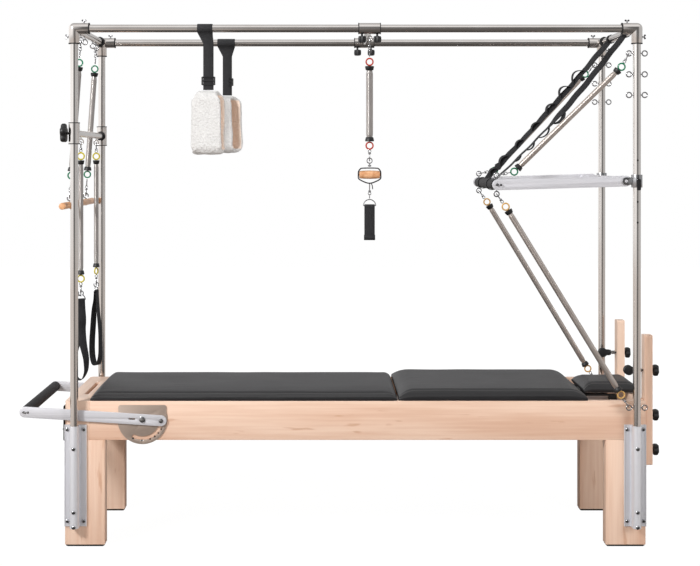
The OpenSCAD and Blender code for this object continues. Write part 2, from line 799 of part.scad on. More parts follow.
module carriage_wheels() {
    color([0.2, 0.2, 0.2]) for (s = sides, x = [carriage_l + 90, carriage_r - 90])
        translate([x, s * wheel_y, wheel_z]) rotate([s * -90, 0, 0]) {
            cylinder(d = 8, h = wheel_w + 8);
            translate([0, 0, 12]) rotate_extrude() polygon([
                [0, 0], [wheel_r - 2, 0], [wheel_r, 3],
                [wheel_r, wheel_w - 3], [wheel_r - 2, wheel_w], [0, wheel_w]
            ]);
        }
}

module headrest_pad() {
    color([0.28, 0.28, 0.3]) translate([headrest_l + headrest_len / 2, 0, headrest_z])
        cushion([headrest_len, headrest_w, headrest_t], 18);
}

// The board that the headrest is screwed to, with its hinge barrel and its prop block
module headrest_board() {
    board_z = headrest_z - headrest_board_t;
    prop_z = tongue_z + tongue_t + seat_gap;
    color([0.75, 0.74, 0.72]) {
        translate([headrest_l + 6, 12 - headrest_w / 2, board_z])
            cube([headrest_len - 20, headrest_w - 24, headrest_board_t]);
        difference() {
            translate([hinge_x, 0, hinge_z]) {
                rotate([90, 0, 0]) cylinder(d = hinge_d, h = 76, center = true);
                translate([-hinge_d / 2, -38, 0]) cube([hinge_d, 76, board_z - hinge_z]);
            }
            translate([hinge_x, 0, hinge_z]) rotate([90, 0, 0])
                cylinder(d = 3 + 2 * run_gap, h = 80, center = true);
        }
    }
    color([0.1, 0.1, 0.1]) translate([headrest_l + 62, -60, prop_z]) cube([40, 120, board_z - prop_z]);
}

// Push bar

// Draws children in the push bar's tilted frame, with its pivot at the origin
module in_push() {
    translate([push_x, 0, push_z]) rotate([0, -push_tilt, 0]) children();
}

// Flat arms with their pivot bolts, and the cross plate near the pivots
module push_arms() {
    plate_x = -52;
    color([0.84, 0.85, 0.88]) in_push() {
        for (s = sides) translate([0, s * push_arm_y, 0]) {
            difference() {
                flat_bar(push_reach, arm_h, arm_t);
                translate([-push_reach, 0, 0]) rotate([90, 0, 0]) cylinder(d = 12, h = 20, center = true);
            }
            rotate([90, 0, 0]) cylinder(d = 12, h = arm_t + 16, center = true);
        }
        translate([plate_x - 4, arm_t / 2 - push_arm_y, -arm_h / 2])
            cube([8, 2 * push_arm_y - arm_t, arm_h]);
    }
}

module push_roller() {
    inner = push_eye_y - 9;
    color([0.2, 0.2, 0.21]) in_push() translate([-push_reach, 0, 0]) rotate([90, 0, 0]) {
        cylinder(d = roller_d, h = 2 * inner, center = true);
        cylinder(d = 11.9, h = 2 * push_arm_y + arm_t + 4, center = true);
    }
}

// Collars beside the roller, each with an eye above and one below
module push_eyes() {
    color("silver") for (s = sides) {
        in_push() translate([-push_reach, s * push_eye_y, 0]) rotate([90, 0, 0]) difference() {
            cylinder(d = 34, h = 16, center = true);
            cylinder(d = 12, h = 18, center = true);
        }
        for (e = sides) translate([roller_x, s * push_eye_y, roller_z + e * push_eye])
            rotate([e > 0 ? 180 : 0, 0, 0]) eye(push_eye - 16.5);
    }
}

// The four springs of the push bar as pairs of eyes: post end first
function push_pairs(s) = [
    [[post_r - post_eye_x, s * post_y, upper_eye_z[0]],
        [roller_x, s * push_eye_y, roller_z + push_eye], "green"],
    [[post_r - post_eye_x, s * post_y, lower_eye_z],
        [roller_x, s * push_eye_y, roller_z - push_eye], "gold"]
];

module push_rings() {
    for (s = sides, p = push_pairs(s)) spring_ends(p[0], p[1], [short_reach, short_reach], spring_d, p[2]);
}

module push_springs() {
    for (s = sides, p = push_pairs(s)) spring_coil(p[0], p[1], [short_reach, short_reach], spring_d);
}

// Two slack safety straps from the roller to the cross tube, sewn into loops along their length
module push_straps() {
    a = [roller_x, roller_z];
    b = [post_r, top_z];
    n = 30;
    length = norm(b - a);
    u = (b - a) / length;
    v = [-u.y, u.x];
    r1 = roller_d / 2 + 1.8;
    r2 = tube_r + 1.8;
    color([0.07, 0.07, 0.07]) for (s = sides) translate([0, s * strap_y, 0]) rotate([90, 0, 0]) {
        band([for (i = [0:n]) a + u * (r1 + (length - r1 - r2) * i / n)
            - v * (14 * sin(180 * i / n) + 3 * sin(360 * 5 * i / n))], strap_t, strap_w);
        for (c = [[a, r1], [b, r2]]) translate(c[0]) linear_extrude(height = strap_w, center = true)
            difference() {
                circle(r = c[1] + 1.4);
                circle(r = c[1] - 1.4);
            }
    }
}

// A sprung pin with a grip lever, drawn towards +Y from the post's face
module pop_pin() {
    color([0.08, 0.08, 0.08]) {
        rotate([-90, 0, 0]) cylinder(d = 7.9, h = sleeve_r + 6);
        translate([0, sleeve_r + 1.5, 0]) rotate([-90, 0, 0]) cylinder(d = 16, h = 14);
        translate([0, sleeve_r + 15, -14]) rotate([90, 0, 0]) linear_extrude(height = 6, center = true)
            round_rect([16, 46], 6);
    }
}
module pop_pin_near() {
    translate([post_r, -post_y, push_z]) mirror([0, 1, 0]) pop_pin();
}
module pop_pin_far() {
    translate([post_r, post_y, push_z]) pop_pin();
}

// Roll-down bar

roll_pairs = [for (s = [-1, 1]) [[post_l, s * hook_y, top_eye_z], [roll_x, s * hook_y, roll_eye_z]]];

// A turned wooden bar with a screw eye for each spring
module roll_bar() {
    color([0.88, 0.66, 0.45]) translate([roll_x, 0, roll_z]) rotate([90, 0, 0]) {
        cylinder(d = roll_d, h = roll_len - 6, center = true);
        cylinder(d = roll_d - 5, h = roll_len, center = true);
    }
}

module roll_springs() {
    for (p = roll_pairs) spring_coil(p[0], p[1], [long_reach, long_reach], spring_d);
}

module roll_fittings() {
    for (p = roll_pairs) {
        spring_ends(p[0], p[1], [long_reach, long_reach], spring_d, [0.08, 0.55, 0.4]);
        color("silver") translate(p[1]) rotate([180, 0, 0]) eye(roll_eye_z - roll_z - roll_d / 2);
    }
}

// Sliding cross tube with the handle

module slider() {
    color([0.6, 0.59, 0.58]) translate([slider_x, 0, top_z]) {
        for (s = sides) translate([0, s * post_y, 0]) rotate([0, 90, 0]) difference() {
            cylinder(d = sleeve_d, h = slider_sleeve, center = true);
            cylinder(r = bore_r, h = slider_sleeve + 2, center = true);
        }
        rotate([90, 0, 0]) difference() {
            cylinder(d = mid_d, h = 2 * post_y - sleeve_d + 4, center = true);
            for (s = sides) translate([0, 0, s * post_y]) rotate([0, 90, 0])
                cylinder(d = sleeve_d - 1, h = 60, center = true);
        }
    }
    color("silver") translate([slider_x, handle_y, slider_eye_z]) eye(top_z - sleeve_r - slider_eye_z + 0.5);
}

module slider_knobs() {
    color([0.07, 0.07, 0.07]) for (s = sides, e = sides)
        translate([slider_x + e * slider_knob_x, s * post_y, top_z - sleeve_r]) rotate([180, 0, 0])
            star_knob(34, 27, 9, 8);
}

handle_top = [slider_x, handle_y, slider_eye_z];
handle_low = [slider_x, handle_y, handle_low_z];

module handle_spring() {
    spring_coil(handle_top, handle_low, [long_reach, short_reach], thick_spring_d);
}

// Rings, swivels and the D-ring between the spring, the grip and the loop
module handle_fittings() {
    spring_ends(handle_top, handle_low, [long_reach, short_reach], thick_spring_d, [0.75, 0.24, 0.3]);
    color("silver") {
        translate(handle_low) rotate([180, 0, 0]) eye(handle_low_z - grip_strap_top);
        translate([slider_x, handle_y, link_top]) rotate([180, 0, 0])
            link(link_top - dee_top + hook_wire + 1, hook_r, hook_wire);
        translate([slider_x, handle_y, dee_z]) dee(dee_w, dee_wire);
    }
}

// A turned wooden grip on a bolt between the two ends of its oval strap
module handle_grip() {
    half = grip_strap_w / 2 - 5;
    color([0.85, 0.62, 0.4]) translate([slider_x, handle_y, grip_z]) rotate([0, 90, 0])
        rotate_extrude() polygon([
            [0, -half - 1.7], [4, -half - 1.7], [4, -half], [12, -half],
            [14.5, -half + 3], [17, -half + 22], [17.5, 0], [17, half - 22], [14.5, half - 3],
            [12, half], [4, half], [4, half + 1.7], [0, half + 1.7]
        ]);
}

// Half of the grip strap's inner outline, from its low point up: it tapers below the grip
function grip_side(s) = let (
    w = grip_strap_w / 2 - grip_strap_t,
    high = grip_strap_top - grip_z - grip_strap_t,
    low = grip_strap_low - grip_z + grip_strap_t
) [for (p = [[0.2, low], [0.5, low * 0.82], [0.88, low * 0.58], [1, low * 0.4], [1, -2], [1, high * 0.3],
        [0.95, high * 0.6], [0.82, high * 0.86], [0.62, high]]) [s * w * p.x, p.y]];

// The strap that goes round the grip, and the loose loop below it
module handle_strap() {
    side = grip_side(1);
    inner = concat(side, [for (i = [len(side) - 1:-1:0]) [-side[i].x, side[i].y]]);
    n = len(inner);
    outer = [for (i = [0:n - 1]) let (d = inner[(i + 1) % n] - inner[(i + n - 1) % n])
        inner[i] + grip_strap_t / norm(d) * [d.y, -d.x]];
    color([0.06, 0.06, 0.06]) {
        translate([slider_x, handle_y, grip_z]) rotate([90, 0, 0])
            linear_extrude(height = 16, center = true) difference() {
                polygon(outer);
                polygon(inner);
            }
        translate([slider_x, handle_y, (loop_top_z + loop_low_z) / 2]) rotate([90, 0, 90])
            linear_extrude(height = loop_web_w, center = true) difference() {
                round_rect([20, loop_top_z - loop_low_z], 9.5);
                round_rect([20 - 2 * web_t, loop_top_z - loop_low_z - 2 * web_t], 6);
            }
    }
}

// Fleece straps

// A webbing strap that wraps the rail and folds to its own width below it, from the rail's centre
module fleece_web(low, wrap, buckle) {
    t = 2.5;
    r = tube_r + 0.6;
    rotate([90, 0, 90]) {
        linear_extrude(height = wrap, center = true) difference() {
            circle(r = r + t);
            circle(r = r);
        }
        linear_extrude(height = fleece_web_w, center = true) {
            for (e = sides) translate([e * 3 - (e > 0 ? 0 : t), -low]) square([t, low - r - 1]);
            translate([-4.5, -low]) square([9, 3]);
        }
    }
    rotate([90, 0, 0]) linear_extrude(height = 9, center = true) polygon([
        [-wrap / 2, -r - 1], [wrap / 2, -r - 1],
        [fleece_web_w / 2, -fleece_fold], [-fleece_web_w / 2, -fleece_fold]
    ]);
    translate([0, 0, -buckle]) difference() {
        cube([fleece_web_w + 10, 16, 34], center = true);
        cube([fleece_web_w + 1, 11.6, 36], center = true);
    }
}

// A fleece sleeve, hung by its top: a soft loop that is open from side to side, with sloping shoulders
module fleece_cuff() {
    shoulder = cuff_h * 0.24;
    translate([0, 0, -cuff_h / 2]) intersection() {
        rotate([90, 0, 90]) linear_extrude(height = cuff_w, center = true) difference() {
            round_rect([cuff_d, cuff_h], cuff_d / 2 - 1);
            round_rect([cuff_d - 2 * cuff_wall, cuff_h - 2 * cuff_wall - 6], cuff_d / 2 - cuff_wall - 1);
        }
        rotate([90, 0, 0]) linear_extrude(height = cuff_d + 2, center = true) polygon([
            [-cuff_w / 2, 12 - cuff_h / 2], [12 - cuff_w / 2, -cuff_h / 2],
            [cuff_w / 2 - 12, -cuff_h / 2], [cuff_w / 2, 12 - cuff_h / 2],
            [cuff_w / 2, cuff_h / 2 - shoulder], [cuff_w * 0.28, cuff_h / 2],
            [-cuff_w * 0.28, cuff_h / 2], [-cuff_w / 2, cuff_h / 2 - shoulder]
        ]);
    }
}

module fleece_web_near() {
    color([0.07, 0.07, 0.07]) translate([fleece_near_x, -post_y, top_z])
        fleece_web(fleece_low_near, wrap_near, buckle_near);
}
module fleece_cuff_near() {
    color([0.95, 0.94, 0.92])
        translate([fleece_near_x, -post_y, top_z - fleece_low_near - seat_gap])
            rotate([0, 0, turn_near]) fleece_cuff();
}
module fleece_web_far() {
    color([0.07, 0.07, 0.07]) translate([fleece_far_x, post_y, top_z])
        fleece_web(fleece_low_far, wrap_far, buckle_far);
}
module fleece_cuff_far() {
    color([0.95, 0.94, 0.92])
        translate([fleece_far_x, post_y, top_z - fleece_low_far - seat_gap])
            rotate([0, 0, turn_far]) fleece_cuff();
}

// Sliding bar at the foot end with its spring loops

module mid_bar() {
    color([0.62, 0.61, 0.6]) translate([post_l, 0, mid_z]) {
        for (s = sides) translate([0, s * post_y, 0]) difference() {
            cylinder(d = sleeve_d, h = mid_sleeve, center = true);
            cylinder(r = bore_r, h = mid_sleeve + 2, center = true);
            if (s < 0) rotate([0, -90, 0]) cylinder(d = 10.1, h = 40);
        }
        rotate([90, 0, 0]) difference() {
            cylinder(d = mid_d, h = 2 * post_y - sleeve_d + 4, center = true);
            for (s = sides) translate([0, 0, s * post_y]) rotate([90, 0, 0])
                cylinder(d = sleeve_d - 1, h = 60, center = true);
        }
    }
    color("silver") for (s = sides) translate([post_l, s * hook_y, mid_eye_z])
        eye(mid_z - mid_d / 2 - mid_eye_z + 0.5);
}

module mid_knob() {
    color([0.06, 0.06, 0.06]) translate([post_l - tube_r - 0.3, -post_y, mid_z]) rotate([0, -90, 0])
        star_knob(80, 24, 10, 14);
}

module loop_spring(s) {
    spring_coil([post_l, s * hook_y, mid_eye_z], [post_l, s * hook_y, loop_eye_z],
        [short_reach, short_reach], spring_d);
}

module loop_fittings(s) {
    spring_ends([post_l, s * hook_y, mid_eye_z], [post_l, s * hook_y, loop_eye_z],
        [short_reach, short_reach], spring_d, [0.8, 0.75, 0.2]);
    color("silver") translate([post_l, s * hook_y, 0]) {
        translate([0, 0, loop_eye_z]) ring(eye_r, eye_wire);
        translate([0, 0, loop_dee_z]) rotate([0, 0, 90]) dee(loop_dee_w, dee_wire);
    }
}

// A hanging webbing loop as a drop outline
module loop_web(s) {
    color([0.06, 0.06, 0.06]) translate([post_l, s * hook_y, 0]) rotate([90, 0, 0])
        linear_extrude(height = hand_web_w, center = true) difference() {
            drop(27, 6);
            drop(27 - hand_web_t, 6 - hand_web_t);
        }
}
// A drop outline: an arc of radius r above, one of radius low_r below, and their tangents
module drop(low_r, r) {
    high = [0, hand_web_top - 6];
    low = [0, hand_web_low + 27];
    a = asin((low_r - r) / norm(high - low));
    translate(high) circle(r = r);
    translate(low) circle(r = low_r);
    polygon([for (p = [[low, low_r, 1], [high, r, 1], [high, r, -1], [low, low_r, -1]])
        p[0] + p[1] * [p[2] * cos(a), sin(a)]]);
}

module loop_spring_near() { loop_spring(-1); }
module loop_spring_far() { loop_spring(1); }
module loop_fittings_near() { loop_fittings(-1); }
module loop_fittings_far() { loop_fittings(1); }
module loop_web_near() { loop_web(-1); }
module loop_web_far() { loop_web(1); }

// Pulleys on the risers

// A swivel fork that points towards the carriage, drawn with the riser's inner face at x = 0
module pulley() {
    neck = pulley_reach - 25.5;
    color([0.1, 0.1, 0.1]) {
        translate([-neck, 0, 0]) rotate([0, 90, 0]) cylinder(d = 24, h = 10);
        for (e = sides) translate([-pulley_reach, e * 9 - 2, 0]) {
            rotate([-90, 0, 0]) cylinder(d = 40, h = 4);
            translate([0, 0, -12]) cube([30, 4, 24]);
        }
        translate([-pulley_reach, 0, 0]) rotate([90, 0, 0]) cylinder(d = 6, h = 21, center = true);
    }
    color("silver") translate([10 - neck, 0, 0]) rotate([0, 90, 0]) cylinder(d = 8, h = neck - 10.3);
}

module wheel() {
    color([0.75, 0.75, 0.75]) translate([-pulley_reach, 0, 0]) rotate([90, 0, 0]) difference() {
        rotate_extrude() polygon([
            [3.05, -6], [17, -6], [17.5, -5], [14, 0], [17.5, 5], [17, 6], [3.05, 6]
        ]);
        cylinder(r = 3.05, h = 14, center = true);
    }
}

module pulley_near() { translate([riser_l, -riser_y, pulley_z]) pulley(); }
module pulley_far() { translate([riser_l, riser_y, pulley_z]) pulley(); }
module wheel_near() { translate([riser_l, -riser_y, pulley_z]) wheel(); }
module wheel_far() { translate([riser_l, riser_y, pulley_z]) wheel(); }

side_rails();
end_boards();
legs();
feet();
slats();
track_rails();
post_sockets();
screws();
posts();
top_tubes();
corner_fittings();
eyebolts();
notch_plates();
foot_strap();
risers();
riser_knobs();
push_brackets();
footbar_arms();
footbar_roller();
footbar_pins();
left_mat();
left_mat_board();
carriage_mat();
carriage_board();
carriage_wheels();
headrest_pad();
headrest_board();
push_arms();
push_roller();
push_eyes();
push_rings();
push_springs();
push_straps();
pop_pin_near();
pop_pin_far();
roll_bar();
roll_springs();
roll_fittings();
slider();
slider_knobs();
handle_spring();
handle_fittings();
handle_grip();
handle_strap();
fleece_web_near();
fleece_cuff_near();
fleece_web_far();
fleece_cuff_far();
mid_bar();
mid_knob();
loop_spring_near();
loop_fittings_near();
loop_web_near();
loop_spring_far();
loop_fittings_far();
loop_web_far();
pulley_near();
wheel_near();
pulley_far();
wheel_far();
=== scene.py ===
import math

import bmesh
import bpy
from mathutils import Matrix, Vector, noise
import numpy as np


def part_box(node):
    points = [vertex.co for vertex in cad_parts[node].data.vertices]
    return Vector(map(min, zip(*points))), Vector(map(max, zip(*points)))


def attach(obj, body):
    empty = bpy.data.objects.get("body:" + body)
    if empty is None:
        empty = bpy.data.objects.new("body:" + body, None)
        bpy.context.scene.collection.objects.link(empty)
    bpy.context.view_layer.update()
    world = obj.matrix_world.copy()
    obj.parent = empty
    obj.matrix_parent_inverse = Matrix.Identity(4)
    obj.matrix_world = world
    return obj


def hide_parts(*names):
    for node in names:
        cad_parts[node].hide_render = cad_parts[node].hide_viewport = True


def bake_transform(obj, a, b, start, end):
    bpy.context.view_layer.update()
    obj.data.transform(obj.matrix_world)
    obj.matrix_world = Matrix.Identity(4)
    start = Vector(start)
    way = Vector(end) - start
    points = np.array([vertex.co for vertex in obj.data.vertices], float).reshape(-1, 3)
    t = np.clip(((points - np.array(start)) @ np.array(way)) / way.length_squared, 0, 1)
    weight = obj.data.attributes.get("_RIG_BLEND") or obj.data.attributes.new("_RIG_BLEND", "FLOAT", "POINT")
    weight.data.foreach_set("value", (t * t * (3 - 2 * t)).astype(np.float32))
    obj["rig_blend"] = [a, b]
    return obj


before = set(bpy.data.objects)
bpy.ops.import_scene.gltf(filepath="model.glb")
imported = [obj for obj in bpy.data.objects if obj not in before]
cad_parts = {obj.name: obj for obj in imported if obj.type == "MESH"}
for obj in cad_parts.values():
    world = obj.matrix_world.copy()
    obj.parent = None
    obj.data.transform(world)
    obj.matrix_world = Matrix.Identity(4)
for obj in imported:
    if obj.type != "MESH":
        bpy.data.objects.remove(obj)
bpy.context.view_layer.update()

# The studio. The camera stands level at eye height in front of the table, with its lens shifted down and to
# the right. One lamp to the left throws the shadows, a second one and one overhead soften them, and the
# white room shows behind the table, below it and in its metal.


class Tone:
    """A shader socket. Sums and products on it add Math nodes."""

    def __init__(self, nodes, socket):
        self.nodes, self.socket = nodes, socket

    def math(self, operation, *values):
        return self.nodes.add("Math", {"operation": operation}, dict(enumerate(values)))

    def __add__(self, other):
        return self.math("ADD", self, other)

    def __sub__(self, other):
        return self.math("SUBTRACT", self, other)

    def __rsub__(self, other):
        return self.math("SUBTRACT", other, self)

    def __mul__(self, other):
        return self.math("MULTIPLY", self, other)

    __radd__, __rmul__ = __add__, __mul__

    def sine(self):
        return self.math("SINE", self)

    def size(self):
        return self.math("ABSOLUTE", self)

    def rise(self, low, high):
        """0 below low, 1 above high, with a smooth step between them."""
        settings = {"interpolation_type": "SMOOTHSTEP"}
        return self.nodes.add("MapRange", settings, {0: self, 1: low, 2: high})


class Nodes:
    """A node tree under construction. add() puts a node in and gives back the socket wanted of it."""

    def __init__(self, tree):
        self.tree = tree

    def add(self, kind, settings=None, sockets=None, out=0):
        node = self.tree.nodes.new("ShaderNode" + kind)
        for name, value in (settings or {}).items():
            setattr(node, name, value)
        for name, value in (sockets or {}).items():
            self.set(node.inputs[name], value)
        return Tone(self, node.outputs[out])

    def set(self, socket, value):
        if isinstance(value, Tone):
            self.tree.links.new(value.socket, socket)
        else:
            socket.default_value = value


def placed(name, data):
    """A new object in the scene."""
    made = bpy.data.objects.new(name, data)
    bpy.context.scene.collection.objects.link(made)
    return made


lens = bpy.data.cameras.new("camera")
lens.lens = 70.6
lens.shift_x, lens.shift_y = 0.0406, -0.1776
camera = placed("camera", lens)
camera.matrix_world = Matrix.Translation((-0.079, -5.93, 1.587)) @ Matrix.Rotation(math.pi / 2, 4, "X")
bpy.context.scene.camera = camera
bpy.context.scene.view_settings.view_transform = "Standard"

for name, spot, aim, size, power in (
    ("key_lamp", (-4.2, -4.6, 4.2), (0, 0, 0.9), 1.1, 335),
    ("fill_lamp", (4.6, -4.2, 2.6), (0, 0, 1.0), 2.6, 165),
    ("top_lamp", (0.2, 0.3, 5.4), (0, 0, 0.6), 3.6, 60),
):
    lamp = bpy.data.lights.new(name, "AREA")
    lamp.size, lamp.energy = size, power
    stand = placed(name, lamp)
    way = Vector(aim) - Vector(spot)
    stand.matrix_world = Matrix.Translation(spot) @ way.to_track_quat("-Z", "Y").to_matrix().to_4x4()
    stand.visible_glossy = name == "key_lamp"

world = bpy.data.worlds.new("room")
bpy.context.scene.world = world
world.use_nodes = True
room = Nodes(world.node_tree)
seen = room.add("LightPath", out="Is Camera Ray")
mirrored = room.add("LightPath", out="Is Glossy Ray")
soft = room.add("LightPath", out="Is Diffuse Ray")
way = room.add("TexCoord", out="Generated")
right, back, up = (room.add("SeparateXYZ", sockets={0: way}, out=axis) for axis in "XYZ")


def walls(right, back):
    """The studio's walls in metal: light on the left, dimmer on the right, and a dark gap in front."""
    gap = (1 - (right - 0.24).size().rise(0.15, 0.4)) * (1 - back.rise(-0.6, 0.0))
    wall = 0.8 - 0.34 * right.rise(-0.5, -0.05) + 0.16 * right.rise(0.4, 0.7)
    return (wall + 0.12 * back.rise(0.6, 0.9)) * (1 - 0.66 * gap)


side_walls = walls(right, back) + 0.45 * up.rise(-0.12, 0.02) * (1 - right.rise(-0.5, -0.15))
ceiling = 1.05 - 0.45 * back.rise(-0.3, 0.2)
metal = side_walls + up.rise(0.45, 0.72) * (ceiling - side_walls)
level = seen + mirrored * metal + soft * 0.2 + (1 - seen - mirrored - soft)
light = world.node_tree.nodes["Background"].inputs
room.set(light["Strength"], level)
tints = {0: soft, 6: (1, 1, 1, 1), 7: (1, 0.92, 0.87, 1)}
room.set(light["Color"], room.add("Mix", {"data_type": "RGBA"}, tints, out=2))

bm = bmesh.new()
bmesh.ops.create_grid(bm, x_segments=1, y_segments=1, size=14)
mesh = bpy.data.meshes.new("floor")
bm.to_mesh(mesh)
bm.free()
floor = placed("floor", mesh)
paper = bpy.data.materials.new("floor")
paper.use_nodes = True
mesh.materials.append(paper)
sheet = Nodes(paper.node_tree)
matt = paper.node_tree.nodes["Principled BSDF"]
matt.inputs["Base Color"].default_value = (0.55, 0.51, 0.48, 1)
matt.inputs["Roughness"].default_value = 0.9
spot = sheet.add("TexCoord", out="Object")
spread = sheet.add("VectorMath", {"operation": "LENGTH"}, {0: spot}, out="Value")
east, north = (sheet.add("SeparateXYZ", sockets={0: spot}, out=axis) for axis in "XY")
far_walls = walls(east.math("DIVIDE", east, spread), north.math("DIVIDE", north, spread))
share = sheet.add("LightPath", out="Is Camera Ray") * (0.93 + 0.07 * spread.rise(1.2, 2.4))
glow = sheet.add("Emission", sockets={"Strength": 1.06})
below = 0.12 + spread.rise(1.6, 4) * (far_walls - 0.12)
dim = sheet.add("Emission", sockets={"Color": (1, 0.93, 0.88, 1), "Strength": below})
lit = sheet.add("MixShader", sockets={0: share, 1: Tone(sheet, matt.outputs[0]), 2: glow})
mirrored = sheet.add("LightPath", out="Is Glossy Ray")
sheet.set(
    paper.node_tree.nodes["Material Output"].inputs["Surface"],
    sheet.add("MixShader", sockets={0: mirrored, 1: lit, 2: dim}),
)

# The wooden bed: solid maple boards under a satin lacquer. The rails, the end boards and the cross members
# are planks with eased edges, the foot end is a hollow block with a hand slot, the legs are square posts.


class Finish(Nodes):
    """A material on one Principled shader, with the record's slot that it belongs to."""

    def __init__(self, name, slot, **constants):
        self.material = bpy.data.materials.new(name)
        self.material.use_nodes = True
        super().__init__(self.material.node_tree)
        self.slot = slot
        self.shader = self.tree.nodes["Principled BSDF"]
        self.wear(**constants)
        self.place = self.add("TexCoord", out="Object")

    def wear(self, **sockets):
        for name, value in sockets.items():
            self.set(self.shader.inputs[name.replace("_", " ")], value)

    def stretched(self, *scale):
        return self.add("Mapping", sockets={"Vector": self.place, "Scale": scale})

    def cloud(self, scale, where=None, detail=3.0):
        sockets = {"Vector": where or self.place, "Scale": scale, "Detail": detail}
        return self.add("TexNoise", sockets=sockets)

    def between(self, share, low, high):
        return self.add("Mix", {"data_type": "RGBA"}, {0: share, 6: low, 7: high}, out=2)

    def toned(self, share, low, high, rough, spread):
        """Two shades and a roughness that follow one pattern."""
        colour = self.between(share, shade(*low), shade(*high))
        self.wear(Base_Color=colour, Roughness=rough + share * spread)

    def relief(self, height, depth):
        self.wear(Normal=self.add("Bump", sockets={"Height": height, "Distance": depth}))


def shade(red, green, blue):
    """A colour as it is seen on a screen, made linear."""
    return tuple((c / 255) ** 2.2 for c in (red, green, blue)) + (1.0,)


def maple(grain):
    """Lacquered maple with its grain along one axis: broad figure, fine fibre and short dark flecks."""
    wood = Finish("maple_" + grain, "maple", Coat_Weight=0.25, Coat_Roughness=0.25)
    along = "xyz".index(grain)
    broad, fine, short = [7.0] * 3, [60.0] * 3, [34.0] * 3
    broad[along], fine[along], short[along] = 0.9, 2.0, 6.0
    figure = wood.cloud(1, wood.stretched(*broad), 4)
    fibre = wood.cloud(1.6, wood.stretched(*fine), 5)
    fleck = wood.cloud(1, wood.stretched(*short), 2).rise(0.66, 0.74)
    pattern = (figure * 0.7 + fibre * 0.3).rise(0.32, 0.66)
    body = wood.between(pattern, shade(222, 180, 154), shade(243, 212, 190))
    flecked = wood.between(fleck * 0.5, body, shade(198, 146, 112))
    wood.wear(Base_Color=flecked, Roughness=0.34 + fibre * 0.16)
    wood.relief(fibre, 0.0003)
    return wood


def eased(bm, edges, radius, segments):
    """Rounds some edges of a mesh."""
    bmesh.ops.bevel(
        bm, geom=edges, offset=radius, offset_type="OFFSET", segments=segments, profile=0.5,
        affect="EDGES", clamp_overlap=True, material=-1,
    )


def softened(node, edge, segments):
    """A copy of a CAD solid with its sharp edges eased by a small round."""
    bm = bmesh.new()
    bm.from_mesh(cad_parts[node].data)
    bmesh.ops.remove_doubles(bm, verts=bm.verts, dist=1e-5)
    bmesh.ops.dissolve_limit(bm, angle_limit=math.radians(0.5), verts=bm.verts, edges=bm.edges)
    sharp = [e for e in bm.edges if len(e.link_faces) == 2 and e.calc_face_angle() > math.radians(30)]
    eased(bm, sharp, edge, segments)
    return bm


def piece(name, bm, finish, body, *nodes, smooth=35):
    """A finished mesh as a piece of the table, riding on its body and standing for its CAD nodes."""
    mesh = bpy.data.meshes.new(name)
    bm.to_mesh(mesh)
    bm.free()
    mesh.materials.append(finish.material)
    mesh.shade_smooth()
    mesh.set_sharp_from_angle(angle=math.radians(smooth))
    made = placed(name, mesh)
    if nodes:
        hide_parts(*nodes)
    if body:
        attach(made, body)
    return made


def cad_piece(name, node, edge, finish, body="root", segments=2):
    """A CAD solid with eased edges as a piece."""
    piece(name, softened(node, edge, segments), finish, body, node)


def shaped(name, bm, *rest, **more):
    """A piece that was modelled here: its faces are turned outwards first."""
    bmesh.ops.recalc_face_normals(bm, faces=bm.faces)
    return piece(name, bm, *rest, **more)


maple_x, maple_y, maple_z = maple("x"), maple("y"), maple("z")
cad_piece("side_rails_wood", "side_rails", 0.0022, maple_x)
cad_piece("end_boards_wood", "end_boards", 0.0022, maple_y)
cad_piece("cross_members_wood", "slats", 0.0015, maple_y)
cad_piece("legs_wood", "legs", 0.0022, maple_z)
cad_piece("risers_wood", "risers", 0.003, maple_z, segments=3)

rubber = Finish("black_rubber", "rubber", Roughness=0.75)
rubber.wear(Base_Color=rubber.between(rubber.cloud(90), shade(24, 24, 25), shade(40, 40, 41)))
rubber.relief(rubber.cloud(900), 0.0003)
cad_piece("rubber_feet", "feet", 0.001, rubber)

# Extruded aluminium, left pale and matt: the ribbed post sockets, the tracks inside the rails and the flat
# arms of both bars. Fine lines from the press run along each length.


def pressed(name, grain, low, high):
    """Matt aluminium between two shades, with fine lines along one axis."""
    metal = Finish(name, "aluminium", Metallic=0.4)
    fine = [420.0] * 3
    fine["xyz".index(grain)] = 3.0
    line = metal.cloud(1, metal.stretched(*fine), 2)
    metal.toned(line, low, high, 0.36, 0.14)
    metal.relief(line, 0.0001)
    return metal


def paint(node, finish):
    """A CAD node that is right as it stands takes a finish on its own mesh."""
    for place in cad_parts[node].material_slots:
        place.material = finish.material


aluminium_z = pressed("aluminium_upright", "z", (220, 221, 227), (240, 241, 246))
# Painted shade: the lengthwise aluminium is a darker copy of the same metal, so the arms come out dimmer
# than the sockets.
aluminium_x = pressed("aluminium_lengthwise", "x", (206, 206, 212), (229, 229, 234))
paint("post_sockets", aluminium_z)
paint("track_rails", aluminium_x)

# The canopy: polished steel tube in cast elbows, with winged screws on the elbows, button screws on the
# sockets and screw eyes in the tubes. Thin dark rings at the sleeve ends are painted shade in the joints,
# and each cross tube has a rubber stop.

polished = Finish("polished_steel", "steel_tube", Metallic=1.0)
smear = polished.cloud(9, polished.stretched(1, 1, 0.35), 4)
polished.toned(smear, (206, 199, 194), (228, 224, 221), 0.1, 0.1)

bright = Finish("bright_steel", "bright_steel", Metallic=1.0)
bright.toned(bright.cloud(60), (140, 140, 142), (178, 178, 180), 0.12, 0.12)

grey = Finish("grey_steel", "grey_steel", Metallic=0.6)
grain = grey.cloud(700, detail=2)
grey.toned(grain, (170, 150, 137), (192, 176, 164), 0.42, 0.15)
grey.relief(grain, 0.0001)

paint("posts", polished)
paint("top_tubes", polished)
cad_piece("elbows", "corner_fittings", 0.0012, polished)
cad_piece("screws_bright", "screws", 0.0004, bright, segments=1)
paint("eyebolts", bright)
cad_piece("push_bar_brackets", "push_brackets", 0.001, bright)


